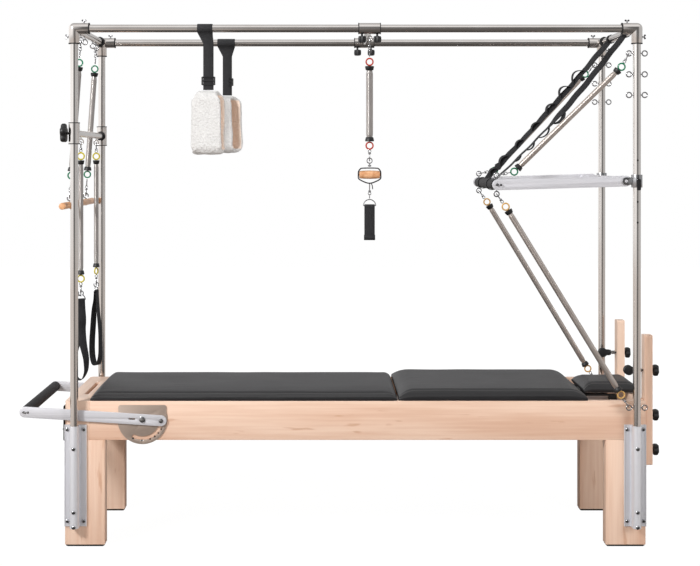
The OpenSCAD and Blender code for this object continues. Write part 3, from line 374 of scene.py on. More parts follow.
X_WAY, Y_WAY, Z_WAY = Vector((1, 0, 0)), Vector((0, 1, 0)), Vector((0, 0, 1))


def mm(x, y, z):
    """A place given in millimetres."""
    return Vector((x, y, z)) / 1000


def turned(bm, where, profile, steps=32):
    """Spins a profile of (radius, height) points about the local Z axis and returns the new points."""
    before = set(bm.verts)
    line = [bm.verts.new(where @ mm(r, 0, h)) for r, h in profile]
    edges = [bm.edges.new(pair) for pair in zip(line, line[1:])]
    axis = where.to_3x3() @ Z_WAY
    bmesh.ops.spin(
        bm, geom=line + edges, cent=where.translation, axis=axis, angle=math.tau, steps=steps, use_merge=True
    )
    bmesh.ops.remove_doubles(bm, verts=[v for v in bm.verts if v not in before], dist=1e-6)
    return [v for v in bm.verts if v not in before]


def at(x, y, z, way="Z"):
    """A place in millimetres whose Z axis points one way."""
    turn = {
        "Z": Matrix.Identity(4), "-Z": Matrix.Rotation(math.pi, 4, "X"),
        "X": Matrix.Rotation(math.pi / 2, 4, "Y"), "-X": Matrix.Rotation(-math.pi / 2, 4, "Y"),
        "Y": Matrix.Rotation(-math.pi / 2, 4, "X"), "-Y": Matrix.Rotation(math.pi / 2, 4, "X"),
    }
    return Matrix.Translation(mm(x, y, z)) @ turn[way]


def turnings(name, finish, body, parts, *nodes):
    """One piece of turned parts. Each has a place, a profile and its number of steps."""
    bm = bmesh.new()
    for part in parts:
        turned(bm, *part)
    return shaped(name, bm, finish, body, *nodes)


def shade_rings(name, places, body):
    """Thin dark rings round the ends of sleeves: painted shade where each sleeve meets the tube it holds."""
    ring = [(17, -1.8), (23.3, -1.8), (23.3, 1.8), (17, 1.8), (17, -1.8)]
    turnings(name, rubber, body, [(where, ring, 40) for where in places])


def stop(x, y, z, bore, lip, rim, length):
    """A short rubber stop with eased rims on a cross tube."""
    profile = [(bore, 0), (lip, 0), (rim, 1.5), (rim, length - 2), (lip, length), (bore, length), (bore, 0)]
    return at(x, y, z, "Y"), profile, 32


foot_x, head_x, post_y, top_z = -1084.5, 1202.5, 350, 2116
both, sides = (-1, 1), (("near", -1), ("far", 1))
corners = [(x, s) for x in (foot_x, head_x) for s in both]
sleeve_end = 61
along = [at(x - math.copysign(sleeve_end, x), s * post_y, top_z, "X") for x, s in corners]
across = [at(x, s * (post_y - sleeve_end), top_z, "Y") for x, s in corners]
down = [at(x, s * post_y, top_z - sleeve_end) for x, s in corners]
shade_rings("elbow_shade_rings", along + across + down, "root")

stops = [stop(x, 274, top_z, 16.1, 20, 21.5, 12) for x in (foot_x, head_x)]
turnings("cross_tube_stops", rubber, "root", stops)

flange, ridge = 321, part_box("post_sockets")[1][1] * 1000
heads, hole_shades = bmesh.new(), bmesh.new()
for x, s in corners:
    spots = [(x + e * 33, flange, z, 1) for e in both for z in (107, 481)]
    spots += [(x, ridge, z, 0) for z in (92, 153, 410)]
    for px, y, z, lift in spots:
        where = at(px, s * y, z, "Y" if s > 0 else "-Y")
        dome = [(8, 1.6 + lift), (6, 3.6 + lift), (3, 4.6 + lift), (0, 4.6 + lift)]
        turned(heads, where, [(0, 0), (8.2, 0)] + dome, 24)
        # Painted shade: a dark hexagon on each screw head stands for the shade in its socket.
        turned(hole_shades, where, [(0, 4 + lift), (3, 4 + lift), (3, 4.9 + lift), (0, 4.9 + lift)], 6)
shaped("socket_screw_heads", heads, bright, "root")
shaped("socket_screw_hole_shades", hole_shades, rubber, "root")

# The foot bar: two flat aluminium arms on pivot bolts, a foam-covered bar between their ends, and a pin near
# each pivot that runs in the notches of a steel plate on the rail. Small dark plugs in the notches are
# painted shade.

cad_piece("notched_plates", "notch_plates", 0.0006, grey)
cad_piece("foot_bar_arms", "footbar_arms", 0.001, aluminium_x, "foot_bar")
cad_piece("foot_bar_bolts", "footbar_pins", 0.0005, bright, "foot_bar")

pivot_x, pivot_z = -811.4, 522


def faces_of(node):
    """The outer faces of a pair of plates: which way each one looks, and its y in millimetres."""
    low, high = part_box(node)
    return (("-Y", low[1] * 1000), ("Y", high[1] * 1000))


# Painted shade: dark plugs in the plates' notches stand for the shade inside them.
stops, notch_r = [], 86.5
for way, y in faces_of("notch_plates"):
    for a in (math.radians(degrees) for degrees in (27.8, 41, 54.3, 68.6, 91.2, 116.3)):
        where = at(pivot_x + notch_r * math.cos(a), y, pivot_z - notch_r * math.sin(a), way)
        stops.append((where, [(0, -2), (3.4, -2), (3.4, 0.5), (0, 0.5)], 16))
turnings("notch_shade_plugs", rubber, "root", stops)

washer = [(6.5, 0), (12.5, 0), (12.5, 1.6), (11, 2.4), (6.5, 2.4), (6.5, 0)]
bm = bmesh.new()
for way, y in faces_of("footbar_arms"):
    turned(bm, at(pivot_x, y, pivot_z, way), washer, 28)
    turned(bm, at(-1290, y, 549.5, way), [(0, 0), (5, 0), (5, 1.4), (3.6, 2.6), (0, 2.8)], 20)
    turned(bm, at(-856, y, 526, way), [(0, 0), (3.2, 0), (3.2, 2.2), (0, 2.6)], 12)
shaped("foot_bar_washers", bm, bright, "foot_bar")

foam = Finish("foam_grip", "foam_grip", Roughness=0.8)
cell = foam.cloud(1400, detail=2)
foam.wear(Base_Color=foam.between(foam.cloud(30) * 0.5 + cell * 0.5, shade(28, 27, 29), shade(46, 45, 47)))
foam.relief(cell, 0.0004)


def mirrored(profile, *middle):
    """A profile up to its middle, and back down to its other end."""
    return profile + list(middle) + [(r, -h) for r, h in reversed(profile)]


def foam_bar(name, middle, half, radius, body, *nodes):
    """A foam sleeve with rounded ends, each closed by a cap."""
    end = [(0, -half), (radius - 8, -half)]
    end += [(radius - 4, -half + 0.8), (radius - 1, -half + 3.2), (radius, -half + 7)]
    turnings(name, foam, body, [(at(*middle, "-Y"), mirrored(end), 48)], *nodes)


tilt, arm = math.radians(3.6), 480
middle = (pivot_x - arm * math.cos(tilt), 0, pivot_z + arm * math.sin(tilt))
foam_bar("foot_bar_foam", middle, 321, 22, "foot_bar", "footbar_roller")

# The mats: foam on a board under charcoal vinyl, with a sewn seam along each long side. The vinyl carries
# painted shade: a near black line along the seam's crease, and a darker band below the seam and under the
# pad. The left mat swells gently to its crown, the carriage mat and the headrest steeply, and their ends are
# rolled over. Under them are plywood, the carriage's wheels and a black prop for the headrest; the
# carriage's plywood is painted near black as painted shade in the gap between the mats.

vinyl = Finish("charcoal_vinyl", "vinyl")
pebble = vinyl.add("TexVoronoi", {"feature": "SMOOTH_F1"}, {"Vector": vinyl.place, "Scale": 420})
stain = vinyl.cloud(5)
# Painted shade: the seam layer darkens the vinyl to near black along the seam's crease, and partway on the
# band below the seam and under the pad.
painted_seam_shade = vinyl.add("Attribute", {"attribute_name": "seam"}, out="Fac")
crinkle = vinyl.cloud(1, vinyl.stretched(5, 60, 60), 3)
charcoal = vinyl.between(stain * 0.5 + crinkle * 0.5, shade(27, 26, 28), shade(46, 45, 47))
vinyl.wear(Base_Color=vinyl.between(painted_seam_shade, charcoal, shade(8, 8, 9)), Roughness=0.42 + stain * 0.12)
vinyl.relief(pebble + crinkle * 3, 0.0005)


def pad(name, node, body, drop, lip, rise, reach_x, reach_y, power, seam):
    """A pad over its CAD solid, in metres: a band up to its seam, a swell to the crown, and rolled ends. It
    starts a drop below the solid, is lip high at the sides and rises to the crown within its reaches."""
    low, high = (Vector(v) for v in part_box(node))
    low.z -= drop
    size, middle = high - low, (low + high) / 2
    bm = bmesh.new()
    hem, stitch, edge = 0.006, 0.013, 0.08
    block = Matrix.Translation((middle.x, middle.y, low.z + hem / 2))
    bmesh.ops.create_cube(bm, size=1, matrix=block @ Matrix.Diagonal((size.x, size.y, hem, 1)))
    upright = [e for e in bm.edges if abs(e.verts[0].co.z - e.verts[1].co.z) > hem / 2]
    eased(bm, upright, 0.02, 6)
    border = [0.0015, 0.005, 0.01, 0.016, 0.024]
    border += [seam + step for step in (-stitch, -0.006, 0, 0.006, stitch, 0.02)]
    for axis in (0, 1):
        count = max(2, round((size[axis] - 0.2) / 0.05))
        inner = [edge + (size[axis] - 2 * edge) * i / count for i in range(count + 1)]
        for cut in border + inner + [size[axis] - c for c in border]:
            point, normal = low.copy(), Vector((0, 0, 0))
            point[axis] += cut
            normal[axis] = 1
            everything = bm.verts[:] + bm.edges[:] + bm.faces[:]
            bmesh.ops.bisect_plane(bm, geom=everything, plane_co=point, plane_no=normal)
    seam_shade_layer = bm.verts.layers.float.new("seam")
    for v in bm.verts:
        to_end, to_side = (max(0, min(v.co[a] - low[a], high[a] - v.co[a])) for a in (0, 1))
        roll = 0.3 + 0.7 * (1 - (1 - min(1, to_end / reach_x)) ** 2.5)
        draw = 0.25 + 0.75 * (1 - (1 - min(1, to_end / 0.07)) ** 2)
        top = v.co.z > low.z + hem / 2
        # Painted shade in the seam layer: 1 on the seam's crease, 0.38 on the side band and the underside.
        near = max(0, 1 - abs(to_side - seam) / stitch) if top else 0
        v[seam_shade_layer] = max(near, 0.38 if to_side < seam or not top else 0)
        if top:
            swell = 1 - (1 - min(1, to_side / reach_y)) ** power
            height = roll * (lip + rise * swell + 0.0015 * noise.noise(v.co * 8)) - 0.003 * near
            v.co.z = low.z + max(hem, height)
        if 0.001 < to_side < edge:
            drawn = seam * draw
            moved = to_side * draw
            if to_side >= seam:
                moved = edge - (edge - to_side) * (edge - drawn) / (edge - seam)
            v.co.y += (moved - to_side) * (1 if v.co.y < middle.y else -1)
    made = shaped(name, bm, vinyl, body, node, smooth=180)
    rounded = made.modifiers.new("rounded", "SUBSURF")
    rounded.levels = rounded.render_levels = 2


pad("left_mat_vinyl", "left_mat", "mat", 0.0005, 0.016, 0.021, 0.034, 0.2, 3, 0.048)
pad("carriage_mat_vinyl", "carriage_mat", "carriage", 0.008, 0.018, 0.024, 0.08, 0.1, 4, 0.045)
pad("headrest_vinyl", "headrest_pad", "headrest", 0.006, 0.014, 0.026, 0.05, 0.09, 3, 0.045)


def layered(name, low, high, rough):
    """Plywood in two shades that change from layer to layer."""
    board = Finish(name, "maple")
    board.toned(board.cloud(1, board.stretched(3, 3, 700), 2), low, high, rough, 0.2)
    return board


paint("left_mat_board", layered("plywood", (196, 164, 126), (224, 194, 156), 0.55))
# Painted shade: the carriage's plywood is painted near black, so the gap between the mats reads dark.
paint("carriage_board", layered("plywood_painted_gap_shade", (26, 25, 25), (44, 42, 41), 0.5))

plastic = Finish("black_plastic", "black_plastic")
mottle = plastic.cloud(260, detail=2)
plastic.toned(mottle, (17, 17, 18), (34, 34, 36), 0.36, 0.2)
plastic.relief(mottle, 0.0002)
paint("carriage_wheels", plastic)
paint("headrest_board", aluminium_x)

bm = bmesh.new()
for s in both:
    block = Matrix.Translation(mm(1152, s * 121, 579)) @ Matrix.Diagonal((0.032, 0.026, 0.026, 1))
    bmesh.ops.create_cube(bm, size=1, matrix=block)
eased(bm, bm.edges[:], 0.0015, 2)
piece("headrest_prop", bm, plastic, "headrest")

# The push bar: flat arms with a cross plate, pinned to brackets on the head end posts. A foam bar joins
# their ends, between collars whose eyes take four springs: each one a close-wound coil with a ferrule, a
# coloured ring and a hook at both ends.

cad_piece("push_bar_arms", "push_arms", 0.001, aluminium_x, "push_bar")
paint("push_eyes", bright)
bm = bmesh.new()
for way, y in faces_of("push_arms"):
    for x in (632, 649):
        turned(bm, at(x, y, 1480.5, way), [(0, 0), (5.2, 0), (5.2, 1), (4, 2.4), (0, 2.8)], 20)
shaped("push_bar_end_screws", bm, bright, "push_bar")
lean, arm = math.radians(1.7), 521
hinge_x, hinge_z = 1157.5, 1496
roller = (hinge_x - arm * math.cos(lean), 0, hinge_z - arm * math.sin(lean))
foam_bar("push_bar_foam", roller, 306, 22, "push_bar", "push_roller")
paint("pop_pin_near", plastic)
paint("pop_pin_far", plastic)

spring_steel = Finish("spring_steel", "spring_steel", Metallic=0.85)
spring_steel.toned(spring_steel.cloud(14), (176, 164, 156), (204, 195, 189), 0.3, 0.1)
pale_steel = Finish("pale_steel", "spring_steel", Metallic=0.8)
pale_steel.toned(pale_steel.cloud(14), (168, 163, 160), (200, 196, 193), 0.26, 0.1)

ring_colours = {
    "green": (8, 118, 82), "yellow": (196, 180, 34), "pale_gold": (206, 162, 96), "red": (182, 56, 40),
}
ring_finishes = {}
for name, rgb in ring_colours.items():
    coated = Finish("ring_" + name, "bright_steel", Coat_Weight=0.2, Roughness=0.45)
    patch = coated.cloud(220, detail=4)
    coated.wear(Base_Color=coated.between(patch.rise(0.64, 0.74) * 0.4, shade(*rgb), shade(190, 170, 150)))
    ring_finishes[name] = coated


def facing(p, way, near=Y_WAY):
    """The place at p whose Z axis looks one way, with its Y axis as near as it can be to another."""
    z = way.normalized()
    x = near.cross(z).normalized()
    return Matrix.Translation(p) @ Matrix((x, z.cross(x), z)).transposed().to_4x4()


def towards(p, q):
    """The place at p whose Z axis points at q."""
    return facing(p, q - p)


def wire_end(bm, where, wire, segments):
    """The round section of a wire, as points and edges."""
    end = bmesh.ops.create_circle(bm, cap_ends=False, radius=wire / 2000, segments=segments, matrix=where)
    return end["verts"], list({e for v in end["verts"] for e in v.link_edges})


def hoop(bm, where, radius, wire, angle=math.tau, steps=28, section=10):
    """Round wire bent about the local Y axis into a ring or a part of one, from the local +X side."""
    made, edges = wire_end(bm, where @ at(radius, 0, 0), wire, section)
    axis = where.to_3x3() @ Y_WAY
    full = angle == math.tau
    if not full:
        bmesh.ops.contextual_create(bm, geom=edges)
    out = bmesh.ops.spin(
        bm, geom=made + edges, cent=where.translation, axis=axis, angle=angle, steps=steps, use_merge=full
    )["geom_last"]
    if not full:
        bmesh.ops.contextual_create(bm, geom=[g for g in out if isinstance(g, bmesh.types.BMEdge)])


def rod(bm, where, radius, length, rounding=0.4, steps=12):
    """A straight pin from the place, along its Z axis."""
    low = [(0, 0), (radius - rounding, 0), (radius, rounding)]
    turned(bm, where, low + [(r, length - h) for r, h in reversed(low)], steps)


def wound(bm, p, q, first, last, diameter, flat, wire=2.6):
    """A close-wound spring from p to q with necked ends: one turn of flattened wire, copied along it."""
    where = towards(p, q)
    length = (q - p).length * 1000 - first - last
    batch, steps, neck = 16, 10, 16
    blocks = math.ceil((length - wire) / wire / batch + 0.1)
    pitch = (length - wire) / (blocks * batch)
    squeeze = Matrix.Diagonal((flat, 1, 1, 1)) @ Matrix.Rotation(math.pi / 2, 4, "X")
    made, edges = wire_end(bm, at((diameter - wire) / 2, 0, 0) @ squeeze, wire, 8)
    rise = (0, 0, pitch / (steps * 1000))
    bmesh.ops.spin(
        bm, geom=made + edges, cent=(0, 0, 0), axis=(0, 0, 1), angle=math.tau, steps=steps, dvec=rise
    )

    def copied(parts, height):
        copy = bmesh.ops.duplicate(bm, geom=parts)["geom"]
        verts = [g for g in copy if isinstance(g, bmesh.types.BMVert)]
        bmesh.ops.translate(bm, verts=verts, vec=(0, 0, height / 1000))

    for turns in (1, 2, 4, 8):
        copied(bm.verts[:] + bm.edges[:] + bm.faces[:], pitch * turns)
    block = bm.verts[:] + bm.edges[:] + bm.faces[:]
    for i in range(1, blocks):
        copied(block, pitch * batch * i)
    bmesh.ops.remove_doubles(bm, verts=bm.verts, dist=1e-5)
    bmesh.ops.holes_fill(bm, edges=[e for e in bm.edges if e.is_boundary], sides=8)
    for v in bm.verts:
        near = min(v.co.z * 1000, length - v.co.z * 1000)
        pinch = 0.68 + 0.32 * math.sqrt(max(0, min(1, near / neck)))
        v.co = where @ Vector((v.co.x * pinch, v.co.y * pinch, v.co.z + (first + wire / 2) / 1000))


def snap_hook(bm, where, length):
    """A hook that hangs from an eye at the place: bow and gate, a swivel, and rings to fill the length."""
    turn = where @ Matrix.Rotation(math.pi / 2, 4, "Z")
    reach = min(length, 46)
    hoop(bm, turn @ at(0, 0, 8), 7, 4, math.pi, 14)
    for side in both:
        foot, tip = turn @ mm(side * 7, 0, 8), turn @ mm(side * 3.2, 0, reach - 16)
        rod(bm, towards(foot, tip), 2, (tip - foot).length * 1000)
    turned(bm, turn @ at(0, 0, reach - 18), [(0, 0), (5, 0), (5.8, 1), (5.8, 6), (3.8, 8), (0, 8)], 16)
    hoop(bm, turn @ at(0, 0, reach - 5.4) @ Matrix.Rotation(math.pi / 2, 4, "Z"), 5.6, 3.2)
    at_ring = reach - 1.4
    while at_ring < length - 12:
        at_ring += 15
        hoop(bm, turn @ at(0, 0, at_ring - 7.5), 7.5, 3.4)


def dressed_spring(name, p, q, reaches, diameter, colour, steel, nodes, body, slack=None, twist=0):
    """A spring with hooks, coloured rings and ferrules. The reaches are from an eye to its ring, and slack
    moves each ring off the line, in X and Z."""
    coil, metal, rings, caps = (bmesh.new() for _ in range(4))
    way = (q - p).normalized()
    at_p, at_q = (mm(x, 0, z) for x, z in slack or ((0, 0), (0, 0)))
    first = p + way * reaches[0] / 1000 + at_p
    last = q - way * reaches[1] / 1000 + at_q
    for eye, ring, other, turn in ((p, first, last, 0), (q, last, first, twist)):
        snap_hook(metal, towards(eye, ring) @ at(0, 0, -2), (ring - eye).length * 1000 - 13)
        where = towards(ring, other)
        hoop(rings, where @ Matrix.Rotation(turn, 4, "Z"), 14, 6.4, steps=36)
        wide, slim = diameter / 2 + 4, diameter / 2 + 1
        cone = [(0, 0), (wide - 2, 0), (wide, 1.5), (wide - 0.5, 6), (slim, 16), (slim - 1.5, 17), (0, 17)]
        turned(caps, where @ at(0, 0, 17.4), cone, 28)
    wound(coil, first, last, 32, 32, diameter, 0.12 if steel is spring_steel else 0.8)
    return [
        shaped(name + "_coil", coil, steel, body, nodes[0], smooth=50),
        shaped(name + "_hooks", metal, bright, body, nodes[1], smooth=50),
        shaped(name + "_rings", rings, ring_finishes[colour], body, nodes[1], smooth=50),
        shaped(name + "_caps", caps, plastic, body, nodes[1], smooth=50),
    ]


straight = ((0, 0), (5, 0))
hanging = {"near": ((15, -13), (27, -26)), "far": ((0, 0), (27, -26))}
for side, sign in sides:
    for level, z_post, z_bar, colour in (("upper", 2015, 38, "green"), ("lower", 575, -38, "pale_gold")):
        p = mm(1170.5, sign * post_y, z_post)
        q = mm(roller[0], sign * 316, roller[2] + z_bar)
        step = (q - p).normalized() * 0.08
        slack = hanging[side] if level == "upper" else straight
        name, nodes = "push_spring_" + side + "_" + level, ("push_springs", "push_rings")
        for made in dressed_spring(name, p, q, (61, 61), 26, colour, spring_steel, nodes, None, slack):
            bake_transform(made, "root", "push_bar", start=tuple(p + step), end=tuple(q - step))

# Webbing: black woven polyester straps, sewn into loops. The push bar's two safety straps hang slack from
# the cross tube, with a row of loops sewn along them.

webbing = Finish("black_webbing", "webbing", Roughness=0.72)
length_way = webbing.add("Attribute", {"attribute_name": "along"}, out="Fac")
cross_way = webbing.add("Attribute", {"attribute_name": "across"}, out="Fac")
weave = (length_way * (math.tau / 0.0024)).sine() * (cross_way * (math.tau / 0.003)).sine()
worn = webbing.cloud(40) * 0.6 + weave.rise(-1, 1) * 0.4
webbing.wear(Base_Color=webbing.between(worn, shade(18, 18, 20), shade(46, 46, 49)))
webbing.relief(weave, 0.0003)


def frames_along(points, ways, closed=False):
    """A place at each point of a path: its Z axis along the path, its Y axis nearest to the way given."""
    ways = ways if isinstance(ways, list) else [ways] * len(points)
    places = []
    for i, p in enumerate(points):
        before = points[i - 1] if i or closed else p
        after = points[(i + 1) % len(points)] if i < len(points) - 1 or closed else p
        places.append(facing(p, after - before, ways[i]))
    return places


def swept(bm, outline, places, closed=False):
    """Extrudes an outline of (thickness, width) points from place to place and marks how far along it is."""
    marks = bm.verts.layers.float
    along, across = (marks.get(name) or marks.new(name) for name in ("along", "across"))
    verts = [bm.verts.new(places[0] @ mm(x, y, 0)) for x, y in outline]
    for v, (x, y) in zip(verts, outline):
        v[along], v[across] = 0.0, y / 1000
    edges = [bm.edges.new(pair) for pair in zip(verts, verts[1:] + verts[:1])]
    first, run = edges, 0.0
    for before, after in zip(places, places[1:]):
        run += (after.translation - before.translation).length
        out = bmesh.ops.extrude_edge_only(bm, edges=edges)["geom"]
        verts = [g for g in out if isinstance(g, bmesh.types.BMVert)]
        fresh = set(verts)
        edges = [g for g in out if isinstance(g, bmesh.types.BMEdge) and fresh.issuperset(g.verts)]
        bmesh.ops.transform(bm, matrix=after @ before.inverted(), verts=verts)
        for v in verts:
            v[along] = run
    if closed:
        bmesh.ops.bridge_loops(bm, edges=first + edges)
    else:
        bmesh.ops.contextual_create(bm, geom=first)
        bmesh.ops.contextual_create(bm, geom=edges)


def strap_outline(width, thick):
    """A flat section with blunt edges."""
    w, t = width / 2, thick / 2
    half = [(t, t - w), (t, w - t), (t * 0.5, w), (-t * 0.5, w)]
    return half + [(-x, -y) for x, y in half]


def strap(bm, width, thick, points, ways, closed=False):
    """A flat strap along a path. Its width lies along the way given, for all the points or for each."""
    swept(bm, strap_outline(width, thick), frames_along(points, ways, closed), closed)


def smooth_path(knots, steps=6, closed=False):
    """Points on a smooth curve through the knots."""
    knots = [Vector(k) for k in knots]
    if closed:
        ends = [knots[-1]] + knots + knots[:2]
    else:
        ends = [2 * knots[0] - knots[1]] + knots + [2 * knots[-1] - knots[-2]]
    path = []
    for a, b, c, d in zip(ends, ends[1:], ends[2:], ends[3:]):
        bend, swing = 2 * a - 5 * b + 4 * c - d, 3 * b - a - 3 * c + d
        for t in (i / steps for i in range(steps)):
            path.append(b + ((c - a) * t + bend * t**2 + swing * t**3) / 2)
    return path if closed else path + [knots[-1]]


def safety_strap(name, y, sag, turn, loops, loop_turn):
    """One slack strap: a loop round each tube, a run between them that turns, and a row of sewn loops."""
    bm = bmesh.new()
    top, low = mm(head_x, y, top_z), mm(roller[0], y, roller[2])
    way = (top - low).normalized()
    out = Vector((-way.z, 0, way.x))
    width, angles = 25, [math.tau * i / 28 for i in range(28)]
    for middle, r in ((top, 18.4), (low, 24.4)):
        ring = [middle + mm(r * math.cos(a), 0, r * math.sin(a)) for a in angles]
        strap(bm, width, 2.6, ring, Y_WAY, True)
    a, b = low + way * 0.0255, top - way * 0.0195
    runs = [(0, 1, 60, 0, 1)] + [(t - half, t + half, 16, height, loop_turn) for t, half, height in loops]
    for start, end, steps, height, share in runs:
        shares = [start + (end - start) * i / steps for i in range(steps + 1)]
        path = []
        for i, t in enumerate(shares):
            lift = height / 1000 * math.sin(math.pi * i / steps) ** 0.7 if 0 < i < steps else 0
            ripple = 0.0012 * math.sin(math.tau * 7 * t)
            path.append(a.lerp(b, t) + out * (lift - sag * math.sin(math.pi * t) + ripple))
        angles = [math.radians(turn(t)) * share for t in shares]
        ways = [Y_WAY * math.cos(angle) + out * math.sin(angle) for angle in angles]
        strap(bm, width, 2.4, path, ways)
    made = shaped(name, bm, webbing, None, "push_straps", smooth=50)
    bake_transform(made, "push_bar", "root", start=tuple(low + way * 0.04), end=tuple(top - way * 0.04))


def near_turn(t):
    """How far the near strap is turned, in degrees: almost flat below, on edge above."""
    return 10 + 60 * min(1, max(0, (t - 0.38) / 0.14))


def far_turn(t):
    """How far the far strap is turned: it wavers all the way."""
    return 60 + 14 * math.sin(math.tau * 2.3 * t)


near_loops = ((0.46, 0.045, -22), (0.35, 0.04, -17), (0.25, 0.03, -11), (0.16, 0.025, -8))
far_loops = ((0.75, 0.045, 26), (0.64, 0.04, 27), (0.52, 0.035, 19), (0.39, 0.03, 14))
far_loops += ((0.26, 0.03, 14), (0.135, 0.035, 17), (0.05, 0.025, 14))
safety_strap("safety_strap_near", -150, 0.02, near_turn, near_loops, 0.6)
safety_strap("safety_strap_far", 150, 0.006, far_turn, far_loops, 0.2)

# The roll-down bar: a turned dowel with a screw eye for each of its two springs, which hang from the cross
# tube at the foot end.

dowel = Finish("turned_wood", "turned_wood", Coat_Weight=0.2)
growth = dowel.cloud(2.2, dowel.stretched(30, 3, 30), 5)
year = dowel.between(growth.rise(0.35, 0.65), shade(206, 148, 104), shade(232, 178, 134))
dowel.wear(Base_Color=year, Roughness=0.38 + growth * 0.15)
dowel.relief(growth, 0.0002)

hook_y, hook_z, roll_z, mid_z = 196, 2082, 1394, 1690
roll_x = foot_x - 26.5 * (hook_z - roll_z) / (hook_z - mid_z)
end = [(0, -370), (9.5, -370), (12.6, -368.6), (14, -365)]
turnings("roll_down_bar", dowel, "roll_down", [(at(roll_x, 0, roll_z, "Y"), mirrored(end), 40)], "roll_bar")
bm = bmesh.new()
for side, sign in sides:
    p, q = mm(foot_x, sign * hook_y, hook_z), mm(roll_x, sign * hook_y, 1422.1)
    nodes = ("roll_springs", "roll_fittings")
    dressed_spring("roll_spring_" + side, p, q, (95, 95), 26, "green", pale_steel, nodes, "roll_down")
    hoop(bm, at(roll_x, sign * hook_y, 1422.1), 10.5, 5.2)
    rod(bm, at(roll_x, sign * hook_y, 1400), 2.6, 13)
    turned(bm, at(roll_x, sign * hook_y, 1382, "-Z"), [(0, -2), (5, -2), (6, 0), (3, 3.2), (0, 3.2)], 16)
shaped("roll_down_eyes", bm, bright, "roll_down", "roll_fittings")

# The sliding cross tube on the top rails: two sleeves, each clamped by two star knobs. The handle hangs from
# it on a thick spring: a turned grip in an oval strap, a swivel, and a loop of webbing on a D-ring.


def star_knob(bm, where, diameter, height, stem, stem_h):
    """A moulded knob with five lobes on a short stem."""
    big, s = diameter / 2, stem / 2
    turned(bm, where, [(0, 0), (s, 0), (s, stem_h + 1), (0, stem_h + 1)], 16)
    rim = [(0, 0), (big * 0.55, 0), (big * 0.9, 1), (big, height * 0.28), (big, height * 0.7)]
    top = [(big * 0.9, height * 0.93), (big * 0.6, height), (big * 0.3, height - 0.4)]
    top += [(big * 0.26, height - 2), (0, height - 2)]
    head = where @ at(0, 0, stem_h)
    back = head.inverted()
    for v in turned(bm, head, rim + top, 60):
        spot = back @ v.co
        r = math.hypot(spot.x, spot.y) * 1000
        notch = (0.5 - 0.5 * math.cos(5 * math.atan2(spot.y, spot.x))) ** 1.6
        pull = 1 - 0.24 * notch * max(0, min(1, (r / big - 0.3) / 0.6))
        v.co = head @ Vector((spot.x * pull, spot.y * pull, spot.z))


def knobs(name, places, size, body, *nodes):
    """Star knobs of one size as one piece."""
    bm = bmesh.new()
    for where in places:
        star_knob(bm, where, *size)
    return shaped(name, bm, plastic, body, *nodes, smooth=40)


paint("slider", polished)
slider_x, grip_z = 116, 1522
ends = [(slider_x + e * 44, s * post_y) for s in both for e in both]
shade_rings("slider_shade_rings", [at(x, y, top_z, "X") for x, y in ends], "cross_slider")
seats = [at(slider_x + e * 31, s * post_y, 2093.5, "-Z") for s in both for e in both]
knobs("slider_star_knobs", seats, (34, 27, 9, 8), "cross_slider", "slider_knobs")


def in_handle(z, way="Z"):
    """A place on the handle's line at some height."""
    return at(slider_x, -post_y, z, way)


eye_z = 1579
p, q = in_handle(2075.5).translation, in_handle(eye_z).translation
nodes = ("handle_spring", "handle_fittings")
dressed_spring("handle_spring", p, q, (95, 61), 29, "red", pale_steel, nodes, "handle")

half = 42
swell = [(0, -half - 1.7), (4, -half - 1.7), (4, -half), (12, -half), (14.6, -half + 1.6)]
swell += [(15.4, -half + 6), (16.6, -half + 20)]
grip = (in_handle(grip_z, "X"), mirrored(swell, (17.3, 0)), 40)
turnings("handle_wooden_grip", dowel, "handle", [grip], "handle_grip")

bm = bmesh.new()
hoop(bm, in_handle(eye_z), 10.5, 4.4)
rod(bm, in_handle(1570, "-Z"), 2.6, 16)
turned(bm, in_handle(1562, "-Z"), [(0, 0), (5, 0), (7, 3), (6.4, 7), (0, 7)], 18)
snap_hook(bm, in_handle(1486, "-Z"), 66)
ring_z = 1396.2
hoop(bm, in_handle(ring_z, "-Z"), 25, 4, math.pi, 24)
rod(bm, at(slider_x - 25, -post_y, ring_z, "X"), 2, 50)
shaped("handle_swivels", bm, bright, "handle", "handle_fittings")


def loop_points(middle, width, height, corner, n=64):
    """Points round a rectangle with round corners, in the XZ plane."""
    a, b = width / 2 - corner, height / 2 - corner
    points = []
    for q, (sx, sz) in enumerate(((1, 1), (-1, 1), (-1, -1), (1, -1))):
        for i in range(n // 4):
            g = math.pi / 2 * (q + i / (n // 4 - 1))
            points.append(middle + mm(sx * a + corner * math.cos(g), 0, sz * b + corner * math.sin(g)))
    return points


bm = bmesh.new()
grip = in_handle(grip_z).translation
outline = [(28, 26.5), (38, 22.5), (43.5, 15.5), (45.5, 7.5), (45.5, -2), (45.5, -13), (39.5, -20.5)]
outline += [(23, -28.8), (7, -34.2)]
outline += [(-x, z) for x, z in reversed(outline)]
oval = smooth_path([grip + mm(x, 0, z) for x, z in outline], 3, True)
strap(bm, 16, 5, oval, Y_WAY, True)
tail = smooth_path([grip + mm(x, 0, z) for x, z in ((5, -33), (10, -42), (12, -51), (12.5, -59))])
strap(bm, 14, 3.4, tail, Y_WAY)
across = Matrix.Rotation(math.pi / 2, 4, "Z")
for z, depth, height, corner, wide in ((1329.5, 16, 141.5, 7.4, 42), (1267, 21, 19, 9, 45)):
    ring = [in_handle(z) @ across @ spot for spot in loop_points(Vector(), depth, height, corner)]
    strap(bm, wide, 3.2, ring, X_WAY, True)
shaped("handle_webbing", bm, webbing, "handle", "handle_strap", smooth=50)

# The fleece straps: webbing folded over the top rail and closed by a plastic buckle, and a soft cuff of
# white fleece, sewn into a sleeve with sloping shoulders and its warm backing inside.


